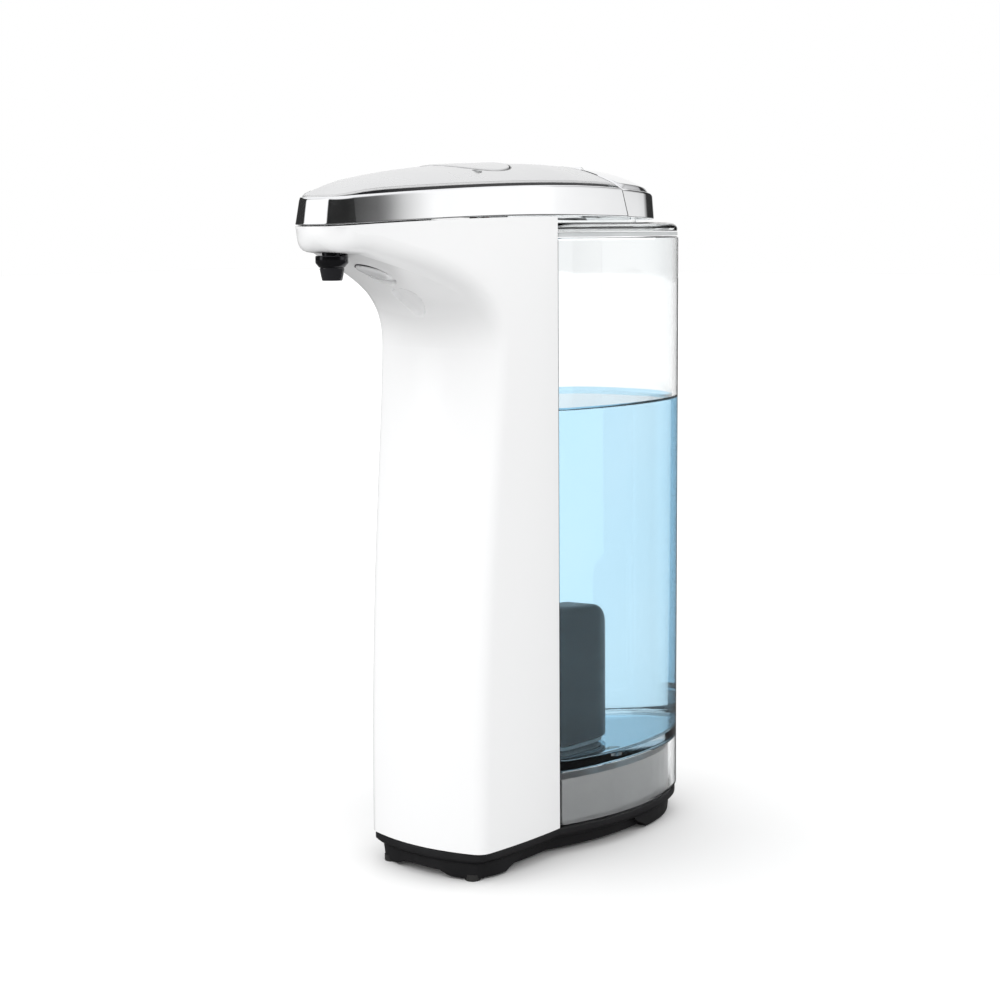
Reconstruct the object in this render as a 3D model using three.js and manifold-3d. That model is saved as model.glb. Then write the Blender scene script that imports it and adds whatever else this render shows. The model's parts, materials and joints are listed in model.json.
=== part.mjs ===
// Countertop touch-free soap dispenser: white column with a reaching arm, chrome lid,
// clear rear tank with a gear pump inside it, and a black footed base.
// Millimetres, +Z up, the spout points towards -Y, and the base stands on Z = 0.
import * as THREE from 'three';
import { mergeVertices } from 'three/addons/utils/BufferGeometryUtils.js';
import Module from 'manifold-3d';

const wasm = await Module();
wasm.setup();

// ---- driving dimensions ----
const GAP = 0.3;                     // clearance between neighbouring pieces
const WALL = 2;                      // shell, tank and housing walls
const JOINT_Y = 3.5;                 // rear face of the white column
const TIP_Y = -69.5;                 // front end of the arm and lid
const LID_REAR_Y = 64.7;             // rear end of the refill flap
const TANK_REAR_Y = 73.5;            // rear end of the tank
const BODY_HALF = 22.9;              // half width of the column at its rear face
const TANK_HALF = 30.5;              // half width of the tank
const TANK_WIDEST_Y = 37;            // where the tank is widest
const SIDE_RADIUS = 187;             // plan radius of the column and arm sides
const TIP_RADIUS = 7.5;              // plan radius of the arm tip corners
const LID_REAR_RADIUS = 18;          // plan radius of the flap's rear corners
const BODY_BOTTOM = 8.5;             // lower edge of the white column
const FLANGE_BOTTOM = 6;             // lower edge of the base flange
const FOOT_BOTTOM = 0.5;             // the rubber pads stand this much proud
const TANK_BOTTOM = 9.1;
const FLOOR_TOP = 27;                // inside floor of the tank
const TANK_TOP = 175.4;
const COVER_BOTTOM = 177;
const COVER_TOP = 179.6;
const SOAP_LEVEL = 127.5;
const NOZZLE_Y = -63;
const BUTTON_Y = -9.5;
const BUTTON_RADIUS = 13;
const HINGE_Y = 35.5;
const HINGE_Z = 194;
const CELL_Y = -12.6;                // centre line of the battery stack
const CELL_RADIUS = 7.2;
const CELL_LENGTH = 50.2;
const MOTOR_Y = 19.5;                // motor and drive gear axis
const GEAR_SPACING = 9;
const GEAR_TEETH = 9;

const FOOT_PLACES = [[-14.6, -26.3], [14.6, -26.3], [-19, 49], [19, 49]];
const SCREW_PLACES = [[-9, -1.1], [9, -1.1], [-15, 60], [15, 60]];
const TANK_SCREWS = [[-20.5, 30], [20.5, 30]];
const INDICATOR = [12.3, -18.5];
const SENSOR_Y = -45.8;
const SENSOR_Z = 167.9;
const SENSOR_TILT = -16;

const PALETTE = {
  white: [0xf4f5f5, 0.25, 0], black: [0x17181a, 0.5, 0], rubber: [0x1d1d1f, 0.9, 0],
  chrome: [0xdfe3e6, 0.06, 1], satin: [0xd9dadb, 0.38, 0.4], clear: [0xeaf6fb, 0.05, 0],
  soap: [0x8cc7f0, 0.1, 0], grey: [0x8d8f92, 0.4, 0.3], steel: [0xb4b8bc, 0.3, 1],
  pom: [0xeceade, 0.5, 0], board: [0x1f6b3c, 0.5, 0], silicone: [0xe4e7e8, 0.6, 0],
  darkChrome: [0x2a2b2e, 0.12, 0.9], cell: [0x2c5f9e, 0.35, 0.3], wire: [0xa32020, 0.5, 0],
};

// The drawing's Y = 0 is close to the joint line. The finished group is moved so that it is centred.
const group = new THREE.Group();
group.position.y = -(TIP_Y + TANK_REAR_Y) / 2;

// ---- helpers ----
function solid(geometry) {
  const bare = geometry.index ? geometry.toNonIndexed() : geometry.clone();
  bare.deleteAttribute('normal');
  bare.deleteAttribute('uv');
  const merged = mergeVertices(bare, 1e-4);
  return new wasm.Manifold(new wasm.Mesh({
    numProp: 3,
    vertProperties: new Float32Array(merged.attributes.position.array),
    triVerts: new Uint32Array(merged.index.array),
  }));
}

function put(name, look, body) {
  const mesh = body.getMesh();
  const geometry = new THREE.BufferGeometry();
  geometry.setAttribute('position', new THREE.BufferAttribute(mesh.vertProperties, 3));
  geometry.setIndex(new THREE.BufferAttribute(mesh.triVerts, 1));
  geometry.computeVertexNormals();
  const [color, roughness, metalness] = PALETTE[look];
  const clear = look === 'clear' || look === 'soap';
  const material = new THREE.MeshStandardMaterial({
    color, roughness, metalness, transparent: clear, opacity: clear ? 0.4 : 1,
  });
  const piece = new THREE.Mesh(geometry, material);
  piece.name = name;
  group.add(piece);
}

const join = (first, ...others) => others.reduce((sum, item) => sum.add(item), first);
const cut = (first, ...tools) => tools.reduce((rest, tool) => rest.subtract(tool), first);

function box(x0, x1, y0, y1, z0, z1) {
  const geometry = new THREE.BoxGeometry(x1 - x0, y1 - y0, z1 - z0);
  geometry.translate((x0 + x1) / 2, (y0 + y1) / 2, (z0 + z1) / 2);
  return solid(geometry);
}

function rod(radius, x, y, z0, z1, sides = 20) {
  const geometry = new THREE.CylinderGeometry(radius, radius, z1 - z0, sides);
  geometry.rotateX(Math.PI / 2);
  geometry.translate(x, y, (z0 + z1) / 2);
  return solid(geometry);
}

function rodX(radius, x0, x1, y, z, sides = 20) {
  const geometry = new THREE.CylinderGeometry(radius, radius, x1 - x0, sides);
  geometry.rotateZ(Math.PI / 2);
  geometry.translate((x0 + x1) / 2, y, z);
  return solid(geometry);
}

function rodY(radius, x, y0, y1, z, sides = 16) {
  const geometry = new THREE.CylinderGeometry(radius, radius, y1 - y0, sides);
  geometry.translate(x, (y0 + y1) / 2, z);
  return solid(geometry);
}

function prism(points, z0, z1) {
  const geometry = new THREE.ExtrudeGeometry(new THREE.Shape(points), { depth: z1 - z0, bevelEnabled: false });
  geometry.translate(0, 0, z0);
  return solid(geometry);
}

// A profile of [radius, z] points turned about the Z axis.
function turned(profile, x, y, sides = 20) {
  const points = profile.map(([radius, z]) => new THREE.Vector2(radius, z));
  const geometry = new THREE.LatheGeometry(points, sides);
  geometry.rotateX(Math.PI / 2);
  geometry.translate(x, y, 0);
  return solid(geometry);
}

function tube(points, radius, steps, sides = 10) {
  const path = new THREE.CatmullRomCurve3(points.map((p) => new THREE.Vector3(...p)), false, 'centripetal');
  const section = new THREE.Shape();
  section.absarc(0, 0, radius, 0, 2 * Math.PI);
  return solid(new THREE.ExtrudeGeometry(section, { steps, extrudePath: path, curveSegments: sides / 2 }));
}

const mirrorPoints = (half) => [
  ...half,
  ...half.filter(([x]) => x > 1e-6).reverse().map(([x, y]) => [-x, y]),
].map(([x, y]) => new THREE.Vector2(x, y));

// ---- plan outlines ----
// Half width of the arm, column and lid at a depth y, pulled in by inset.
function sideAt(y, inset = 0) {
  const d = Math.max(0, JOINT_Y - y);
  return BODY_HALF - inset - (SIDE_RADIUS - Math.sqrt(SIDE_RADIUS ** 2 - d * d));
}

function arcPoints(cx, cy, radius, from, to, count) {
  return Array.from({ length: count + 1 }, (_, i) => {
    const angle = from + ((to - from) * i) / count;
    return [cx + radius * Math.cos(angle), cy + radius * Math.sin(angle)];
  });
}

// Right-hand half of the lid's plan, from the front centre to the rear centre.
function lidHalf(inset, rearY = LID_REAR_Y) {
  const tipCorner = 3.1;
  const tipCentreY = TIP_Y + TIP_RADIUS;
  const sideAngle = Math.asin((JOINT_Y - tipCentreY) / (SIDE_RADIUS - TIP_RADIUS));
  const half = [[0, TIP_Y + inset]];
  half.push(...arcPoints(tipCorner, tipCentreY, TIP_RADIUS - inset, -Math.PI / 2, -sideAngle, 7));
  for (const y of [-60, -51, -42, -33, -24, -14, -5]) half.push([sideAt(y, inset), y]);
  half.push([BODY_HALF - inset, JOINT_Y]);
  if (rearY === JOINT_Y) half.push([0, rearY]);
  else if (rearY < LID_REAR_Y) half.push([BODY_HALF - inset, rearY], [0, rearY]);
  else {
    const corner = BODY_HALF - LID_REAR_RADIUS;
    half.push(...arcPoints(corner, LID_REAR_Y - LID_REAR_RADIUS, LID_REAR_RADIUS - inset, 0, Math.PI / 2, 9));
    half.push([0, LID_REAR_Y - inset]);
  }
  return half;
}

// Right-hand half of the tank's plan: a long side arc, then a squarish rear end.
function tankHalf(inset, frontY) {
  const halfWidth = TANK_HALF - inset;
  const rear = TANK_REAR_Y - inset - TANK_WIDEST_Y;
  const half = [[0, frontY]];
  for (const y of [frontY, 10, 17, 24, 31]) {
    half.push([halfWidth - ((TANK_WIDEST_Y - y) ** 2) / 147, y]);
  }
  const steps = 14;
  for (let i = 0; i <= steps; i += 1) {
    const angle = (Math.PI / 2) * (i / steps);
    half.push([halfWidth * Math.cos(angle) ** 0.8, TANK_WIDEST_Y + rear * Math.sin(angle) ** 0.8]);
  }
  half[half.length - 1][0] = 0;
  return half;
}

// Right-hand half of the base's plan: the column's front, its side, and the tank.
function baseHalf(inset) {
  const frontY = -28.5;
  const crease = sideAt(frontY, inset);
  const half = [0, 5, 10, 14, 17].map((x) => [x, frontY + inset - 4.5 * (1 - (x / (crease + inset)) ** 2)]);
  half.push([crease - 1, frontY + inset - 0.3], [crease, frontY + inset + 1.2]);
  half.push([sideAt(-14, inset), -14], [BODY_HALF - inset, JOINT_Y]);
  return half.concat(tankHalf(inset, 10).slice(2));
}

// ---- lid surfaces ----
const lidEdge = (y) => 189.8 - (y - 15.5) ** 2 / (y < 15.5 ? 2030 : 800);
const lidJoint = (y) => 181.3 - (y + 1.5) ** 2 / (y < -1.5 ? 2100 : 3400);

function lidHalfWidth(y, inset) {
  const tipCentreY = TIP_Y + TIP_RADIUS;
  const rearCentreY = LID_REAR_Y - LID_REAR_RADIUS;
  if (y < tipCentreY - 2.5) return 3.1 + Math.sqrt(Math.max(0, (TIP_RADIUS - inset) ** 2 - (y - tipCentreY) ** 2));
  if (y > rearCentreY) {
    const r = LID_REAR_RADIUS - inset;
    return BODY_HALF - LID_REAR_RADIUS + Math.sqrt(Math.max(0, r * r - (y - rearCentreY) ** 2));
  }
  return sideAt(y, inset);
}

function lidTop(x, y) {
  const width = lidHalfWidth(y, 0);
  return lidEdge(y) + 0.28 * width * (1 - Math.min(1, (x / width) ** 2));
}

// A closed slab over the lid's plan, between two height functions.
function lidSlab(inset, topInset, lower, upper) {
  const stations = [0, 0.6, 1.8, 3.6, 6, 9];
  const rows = stations.map((d) => TIP_Y + inset + d);
  for (let y = TIP_Y + inset + 16; y < 44; y += 9) rows.push(y);
  rows.push(...[18, 14, 10, 6.5, 3.6, 1.6, 0.5, 0].map((d) => LID_REAR_Y - inset - d));
  const columns = 10;
  const middleY = -4;
  const squeeze = (TIP_Y - middleY + topInset) / (TIP_Y - middleY);
  const positions = [];
  for (const layer of [0, 1]) {
    rows.forEach((y) => {
      const width = lidHalfWidth(y, inset);
      for (let c = 0; c <= columns; c += 1) {
        const x = width * (-1 + (2 * c) / columns);
        if (layer === 0) positions.push(x, y, lower(x, y));
        else {
          const shrink = (width - topInset) / width;
          positions.push(x * shrink, middleY + (y - middleY) * squeeze, upper(x, y));
        }
      }
    });
  }
  const across = columns + 1;
  const layerSize = rows.length * across;
  const index = [];
  const at = (layer, row, column) => layer * layerSize + row * across + column;
  const quad = (a, b, c, d) => index.push(a, b, c, a, c, d);
  for (let r = 0; r < rows.length - 1; r += 1) {
    for (let c = 0; c < columns; c += 1) {
      quad(at(1, r, c), at(1, r, c + 1), at(1, r + 1, c + 1), at(1, r + 1, c));
      quad(at(0, r, c), at(0, r + 1, c), at(0, r + 1, c + 1), at(0, r, c + 1));
    }
    quad(at(0, r, 0), at(1, r, 0), at(1, r + 1, 0), at(0, r + 1, 0));
    quad(at(0, r, columns), at(0, r + 1, columns), at(1, r + 1, columns), at(1, r, columns));
  }
  const last = rows.length - 1;
  for (let c = 0; c < columns; c += 1) {
    quad(at(0, 0, c), at(0, 0, c + 1), at(1, 0, c + 1), at(1, 0, c));
    quad(at(0, last, c + 1), at(0, last, c), at(1, last, c), at(1, last, c + 1));
  }
  const geometry = new THREE.BufferGeometry();
  geometry.setAttribute('position', new THREE.BufferAttribute(new Float32Array(positions), 3));
  geometry.setIndex(index);
  return solid(geometry);
}

// ---- the column's front face and the arm's underside ----
const FRONT_PATH = new THREE.CurvePath();
const at2 = (y, z) => new THREE.Vector2(y, z);
FRONT_PATH.add(new THREE.LineCurve(at2(-28.5, -20), at2(-28.5, 8.5)));
FRONT_PATH.add(new THREE.CubicBezierCurve(at2(-28.5, 8.5), at2(-28.5, 80), at2(-21, 118), at2(-20, 146)));
FRONT_PATH.add(new THREE.CubicBezierCurve(at2(-20, 146), at2(-20, 160.5), at2(-35, 167.5), at2(-60.5, 172.9)));
FRONT_PATH.add(new THREE.LineCurve(at2(-60.5, 172.9), at2(-90, 174.5)));

// The air in front of the column and under the arm, moved towards the piece by offset.
function frontAir(offset) {
  const stations = [-26, -20.8, -19.6, -16.5, -12.5, -6.5, 0, 6.5, 12.5, 16.5, 19.6, 20.8, 26];
  const profile = FRONT_PATH.getSpacedPoints(34);
  const positions = [];
  stations.forEach((x) => {
    const dome = Math.max(0, 1 - (x / 20.8) ** 2);
    profile.forEach((point, i) => {
      const before = profile[Math.max(0, i - 1)];
      const after = profile[Math.min(profile.length - 1, i + 1)];
      const along = after.clone().sub(before).normalize();
      const reach = Math.min(1, Math.max(0, (point.x + 60.5) / 36));
      const bulge = (1 + 3.5 * reach) * dome - offset;
      positions.push(x, point.x - along.y * bulge, point.y + along.x * bulge);
    });
    positions.push(x, -110, 174.5 + offset, x, -110, -20);
  });
  const ring = profile.length + 2;
  const index = [];
  for (let s = 0; s < stations.length - 1; s += 1) {
    for (let i = 0; i < ring; i += 1) {
      const a = s * ring + i;
      const b = s * ring + ((i + 1) % ring);
      index.push(a, b, b + ring, a, b + ring, a + ring);
    }
  }
  const outline = Array.from({ length: ring }, (_, i) => at2(positions[3 * i + 1], positions[3 * i + 2]));
  const last = (stations.length - 1) * ring;
  THREE.ShapeUtils.triangulateShape(outline, []).forEach(([a, b, c]) => {
    index.push(c, b, a);
    index.push(last + a, last + b, last + c);
  });
  const geometry = new THREE.BufferGeometry();
  geometry.setAttribute('position', new THREE.BufferAttribute(new Float32Array(positions), 3));
  geometry.setIndex(index);
  return solid(geometry);
}

// ---- black base ----
function base() {
  const flange = prism(mirrorPoints(baseHalf(0.4)), FLANGE_BOTTOM, BODY_BOTTOM - GAP);
  const skirt = prism(mirrorPoints(baseHalf(2)), FOOT_BOTTOM, FLANGE_BOTTOM + 0.5);
  const arches = join(
    archAlongX(-17.5, 41, 5.4),
    archAlongY(-11, 10, 2.7),
    archAlongY(-13, 13, 5.4).intersect(box(-40, 40, 20, 90, -1, 8)),
  );
  const hull = prism(mirrorPoints(baseHalf(4.6)), 1.2, FLANGE_BOTTOM + 0.5);
  const bay = join(box(-17.2, 17.2, -23.5, -3.6, -1, 20), box(-17.2, 17.2, -23.5, -0.2, -1, 4.3));
  const hollow = prism(mirrorPoints(tankHalf(9, 8)), -1, FLANGE_BOTTOM);
  const screwHoles = SCREW_PLACES.map(([x, y]) => join(rod(1.5, x, y, -1, 20, 12), rod(2.8, x, y, -1, 6.6, 14)));
  const padPockets = FOOT_PLACES.map(([x, y]) => rod(2.5, x, y, -1, 2.1, 14));
  const body = cut(join(flange, join(cut(skirt, arches), hull)), bay, hollow, ...screwHoles, ...padPockets);
  const hingeEars = [-15.5, 15.5].map((x) => box(x - 1.4, x + 1.4, -2.6, -0.5, 1.6, 7));
  put('base_chassis', 'black', cut(join(body, ...hingeEars), rodX(0.9, -17.1, 17.1, -1.7, 2.9, 12)));
  FOOT_PLACES.forEach(([x, y], i) => put(`foot_pad_${i + 1}`, 'rubber', rod(2.2, x, y, 0, 1.8, 14)));
  SCREW_PLACES.forEach(([x, y], i) => {
    put(`base_screw_${i + 1}`, 'steel', screw(x, y, 4.8, 2.4, 15.5));
  });
}

// Arches are cut through the skirt so that only corner feet reach down.
function archAlongX(y0, y1, top) {
  const slope = 7;
  const points = [[y0, -1], [y1, -1], [y1 - slope * 0.4, top * 0.6], [y1 - slope, top], [y0 + slope, top],
    [y0 + slope * 0.4, top * 0.6]].map(([y, z]) => new THREE.Vector2(y, z));
  const geometry = new THREE.ExtrudeGeometry(new THREE.Shape(points), { depth: 90, bevelEnabled: false });
  geometry.translate(0, 0, -45);
  geometry.rotateX(Math.PI / 2);
  geometry.rotateZ(Math.PI / 2);
  return solid(geometry);
}

function archAlongY(x0, x1, top) {
  const points = [[x0, -1], [x1, -1], [x1 - 2, top * 0.7], [x1 - 5, top], [x0 + 5, top], [x0 + 2, top * 0.7]]
    .map(([x, z]) => new THREE.Vector2(x, z));
  const geometry = new THREE.ExtrudeGeometry(new THREE.Shape(points), { depth: 190, bevelEnabled: false });
  geometry.rotateX(Math.PI / 2);
  geometry.translate(0, 100, 0);
  return solid(geometry);
}

function screw(x, y, headZ, headRadius, topZ) {
  const head = turned([[0, headZ], [headRadius * 0.8, headZ], [headRadius, headZ + 0.5],
    [headRadius, headZ + 1.5], [1.15, headZ + 1.5], [1.15, topZ - 1.5], [0, topZ]], x, y, 14);
  const slot = box(x - 0.3, x + 0.3, y - 1.6, y + 1.6, headZ - 1, headZ + 0.7);
  const cross = box(x - 1.6, x + 1.6, y - 0.3, y + 0.3, headZ - 1, headZ + 0.7);
  return cut(head, slot, cross);
}

// ---- battery door, cells and their holder ----
function batteries() {
  const plate = box(-16.7, 16.7, -23.1, -3.7, 1.5, 3.5);
  const knuckle = join(rodX(1.2, -13.6, 13.6, -1.7, 2.9, 14), box(-13.6, 13.6, -3.9, -1.7, 1.7, 3.3));
  const latchArm = box(-4, 4, -23.1, -21.9, 3.2, 5.2);
  const pin = rodX(0.9, -20, 20, -1.7, 2.9, 12);
  put('battery_door', 'black', cut(join(plate, knuckle, latchArm), pin));
  put('door_hinge_pin', 'steel', rodX(0.6, -16.6, 16.6, -1.7, 2.9, 12));
  const spots = [[-1, 1], [1, 2]].map(([side, n]) => [side * (CELL_RADIUS + 0.25), n]);
  spots.forEach(([x, n]) => {
    put(`contact_spring_${n}`, 'steel', coil(x, CELL_Y, 3.2, 0.4, 3.9, 6.4, 2));
    [0, 1].forEach((level) => {
      const z = 7 + level * (CELL_LENGTH + GAP);
      put(`battery_${n + 2 * level}`, 'cell', turned([[0, z], [CELL_RADIUS - 0.9, z], [CELL_RADIUS, z + 0.6],
        [CELL_RADIUS, z + CELL_LENGTH - 1.9], [CELL_RADIUS - 0.7, z + CELL_LENGTH - 1.2],
        [2.7, z + CELL_LENGTH - 1.2], [2.7, z + CELL_LENGTH], [0, z + CELL_LENGTH]], x, CELL_Y, 20));
    });
  });
  const top = 7 + 2 * CELL_LENGTH + 2 * GAP;
  put('battery_contact', 'steel', box(-12, 12, CELL_Y - 3.5, CELL_Y + 3.5, top, top + 0.6));
  const outer = box(-16.4, 16.4, CELL_Y - 8.8, CELL_Y + 8.8, 9, top + 2.4);
  const inner = box(-15, 15, CELL_Y - 7.5, CELL_Y + 7.5, 0, top + 0.9);
  const window = box(-8, 8, CELL_Y - 12, CELL_Y - 5, 30, 90);
  put('battery_holder', 'grey', cut(outer, inner, window));
}

// A coil spring about a vertical axis.
function coil(x, y, radius, wire, z0, z1, turns) {
  const steps = Math.round(turns * 11);
  const points = Array.from({ length: steps + 1 }, (_, i) => {
    const angle = (2 * Math.PI * turns * i) / steps;
    return [x + radius * Math.cos(angle), y + radius * Math.sin(angle), z0 + wire + ((z1 - z0 - 2 * wire) * i) / steps];
  });
  return tube(points, wire, steps, 6);
}

// ---- white column and arm ----
function column() {
  const planOuter = prism(mirrorPoints(lidHalf(0, JOINT_Y)), BODY_BOTTOM, 186);
  const planInner = prism(mirrorPoints(lidHalf(WALL, JOINT_Y + 10)), 0, 190);
  const above = lidSlab(-3, 0, (x, y) => lidJoint(y) - 0.15, () => 230);
  const outer = cut(planOuter, frontAir(0), above);
  const hollow = cut(planInner, frontAir(WALL), scoop(1.4));
  const tiltedCut = rod(1, 0, 0, -6, 6, 24).scale([4.4, 7.7, 1]).rotate([SENSOR_TILT, 0, 0])
    .translate([0, SENSOR_Y, SENSOR_Z]);
  const nozzleHole = rod(2.8, 0, NOZZLE_Y, 160, 180, 16);
  put('body_shell', 'white', cut(outer, hollow, tiltedCut, nozzleHole, scoop(0)));
  const wall = box(-20.5, 20.5, 1.5, JOINT_Y - GAP, 8.8, 179.5);
  const wallScrews = SCREW_PLACES.slice(0, 2);
  const posts = wallScrews.map(([x, y]) => rod(2.4, x, y, 8.8, 17, 14).add(box(x - 2.4, x + 2.4, y, 2, 8.8, 17)));
  const bores = wallScrews.map(([x, y]) => rod(1.4, x, y, 8, 16.2, 12));
  put('rear_wall', 'white', cut(join(wall, ...posts), portal(0), ...bores));
}

// The shallow finger-shaped hollow behind the sensor window.
function scoop(grow) {
  const ball = solid(new THREE.SphereGeometry(1, 20, 12));
  return ball.scale([4.4 + grow, 2.4 + grow, 6 + grow]).rotate([57, 0, 0]).translate([0, -32.6, 158.2]);
}

// The passage for the soap tube and motor lead through the wall, tank and collar.
const portal = (grow) => box(-9.6 - grow, 9.6 + grow, -5, 14, 32 - grow, 64 + grow);

// ---- lid ----
function lid() {
  const skin = 1.5;
  const shell = lidSlab(0, 1, (x, y) => lidJoint(y) + 0.15, lidTop);
  const room = lidSlab(1.7, 0.6, () => 150, (x, y) => lidTop(x, y) - 3);
  const seam = seamHalf(0.35);
  const coverSide = cut(shell, seam);
  const bed = lidSlab(1.2, 0, (x, y) => lidTop(x, y) - 1.5, (x, y) => lidTop(x, y) + 9);
  const bedEnd = seamHalf(1.1);
  const buttonHole = rod(BUTTON_RADIUS + 0.45, 0, BUTTON_Y, 170, 210, 32);
  const notch = box(-14, 14, 32.5, 60, 190, 210);
  const lamp = rod(1.4, INDICATOR[0], INDICATOR[1], 170, 210, 14);
  const lugs = [-1, 1].map((side) => {
    const x0 = Math.min(side * 5, side * 8.5);
    return join(rodX(1.5, x0, x0 + 3.5, HINGE_Y, HINGE_Z, 16), box(x0, x0 + 3.5, 30.5, HINGE_Y, HINGE_Z - 1.5, HINGE_Z - 0.4));
  });
  const pinBore = rodX(1, -20, 20, HINGE_Y, HINGE_Z, 12);
  const ring = cut(coverSide, room, cut(bed, bedEnd), buttonHole, notch, lamp);
  put('top_cover', 'chrome', cut(join(ring, ...lugs), pinBore));
  const plateOuter = lidSlab(1.6, 0, (x, y) => lidTop(x, y) - 0.9, lidTop);
  put('top_plate', 'satin', cut(plateOuter, seamHalf(1.4), buttonHole, notch, lamp));
  put('indicator_lens', 'clear', rod(1.05, INDICATOR[0], INDICATOR[1], 189.5, lidTop(...INDICATOR) + 0.1, 14));

  const flapSide = shell.intersect(seamHalf(0));
  const cleared = box(-14.3, 14.3, 20, HINGE_Y, 186, 210);
  const lugRoom = [-1, 1].map((side) => box(Math.min(side * 4.7, side * 9), Math.max(side * 4.7, side * 9), 30, 37.7, 189, 210));
  const knuckle = join(rodX(1.5, -4.4, 4.4, HINGE_Y, HINGE_Z, 16), box(-4.4, 4.4, HINGE_Y, 40, HINGE_Z - 1.5, HINGE_Z + 0.4));
  const presser = prism(mirrorPoints(stadiumHalf(11, 5, 52)), 184.8, 200).intersect(lidSlab(1, 0, () => 150, (x, y) => lidTop(x, y) - 0.8));
  const flap = join(cut(flapSide, room, cleared), presser, knuckle);
  put('refill_lid', 'chrome', cut(flap, ...lugRoom, pinBore));
  put('lid_hinge_pin', 'steel', rodX(0.7, -8.3, 8.3, HINGE_Y, HINGE_Z, 12));
  const seal = prism(mirrorPoints(stadiumHalf(15, 7.6, 52)), 183.3, 184.5);
  put('refill_seal', 'silicone', seal);
}

// Everything behind the slanted seam plane, moved back by shift.
function seamHalf(shift) {
  const corner = (z) => new THREE.Vector2(35.85 - shift + (189.5 - z) * 0.318, z);
  const points = [corner(160), new THREE.Vector2(120, 160), new THREE.Vector2(120, 215), corner(215)];
  const geometry = new THREE.ExtrudeGeometry(new THREE.Shape(points), { depth: 90, bevelEnabled: false });
  geometry.translate(0, 0, -45);
  geometry.rotateX(Math.PI / 2);
  geometry.rotateZ(Math.PI / 2);
  return solid(geometry);
}

// Right-hand half of a rounded slot's plan, centred on (0, y).
function stadiumHalf(halfWidth, halfDepth, y) {
  return [[0, y - halfDepth], ...arcPoints(halfWidth - halfDepth, y, halfDepth, -Math.PI / 2, Math.PI / 2, 10),
    [0, y + halfDepth]];
}

// ---- power button and its switch ----
function powerButton() {
  const cap = rod(BUTTON_RADIUS, 0, BUTTON_Y, 170, 210, 32)
    .intersect(lidSlab(0, 0, (x, y) => lidTop(x, y) - 1.6, (x, y) => lidTop(x, y) + 0.3));
  put('power_button', 'satin', join(cap, rod(2.2, 0, BUTTON_Y, 187.6, 195, 16)));
  put('button_spring', 'steel', coil(0, BUTTON_Y, 4.4, 0.35, 184.2, 193, 4));
  put('control_board', 'board', box(-9, 9, -33, 1, 182.3, 183.9));
  put('power_switch', 'pom', join(box(-2.4, 2.4, BUTTON_Y - 2.4, BUTTON_Y + 2.4, 184.2, 185.9), rod(1.4, 0, BUTTON_Y, 185.8, 186.5, 14)));
  put('control_chip', 'black', box(-3.5, 3.5, -29, -22, 184.2, 185.6));
}

// ---- nozzle and hand sensor ----
function spout() {
  const collar = turned([[1.1, 168.6], [3.4, 168.6], [4.2, 169.7], [4.2, 171.2], [2.5, 171.2], [2.5, 175.6],
    [1.1, 175.6], [1.1, 168.6]], 0, NOZZLE_Y, 20);
  put('nozzle_collar', 'darkChrome', collar);
  const tip = turned([[1, 165.3], [2.6, 165.3], [2.9, 165.6], [3.2, 168.3], [1, 168.3], [1, 165.3]], 0, NOZZLE_Y, 20);
  put('nozzle_tip', 'black', tip);
  const tilt = (body) => body.rotate([SENSOR_TILT, 0, 0]).translate([0, SENSOR_Y, SENSOR_Z]);
  put('sensor_window', 'clear', tilt(rod(1, 0, 0, -1.1, 1, 24).scale([4.1, 7.4, 1])));
  put('sensor_board', 'board', tilt(box(-4, 4, -7.5, 7.5, 4.6, 5.8)));
  [['sensor_emitter', -3.9], ['sensor_receiver', 3.9]].forEach(([name, y]) => {
    put(name, 'black', tilt(turned([[0, 1.4], [0.9, 1.6], [1.5, 2.4], [1.5, 3.6], [1.8, 3.6], [1.8, 4.3], [0, 4.3]], 0, y, 14)));
  });
}

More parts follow.
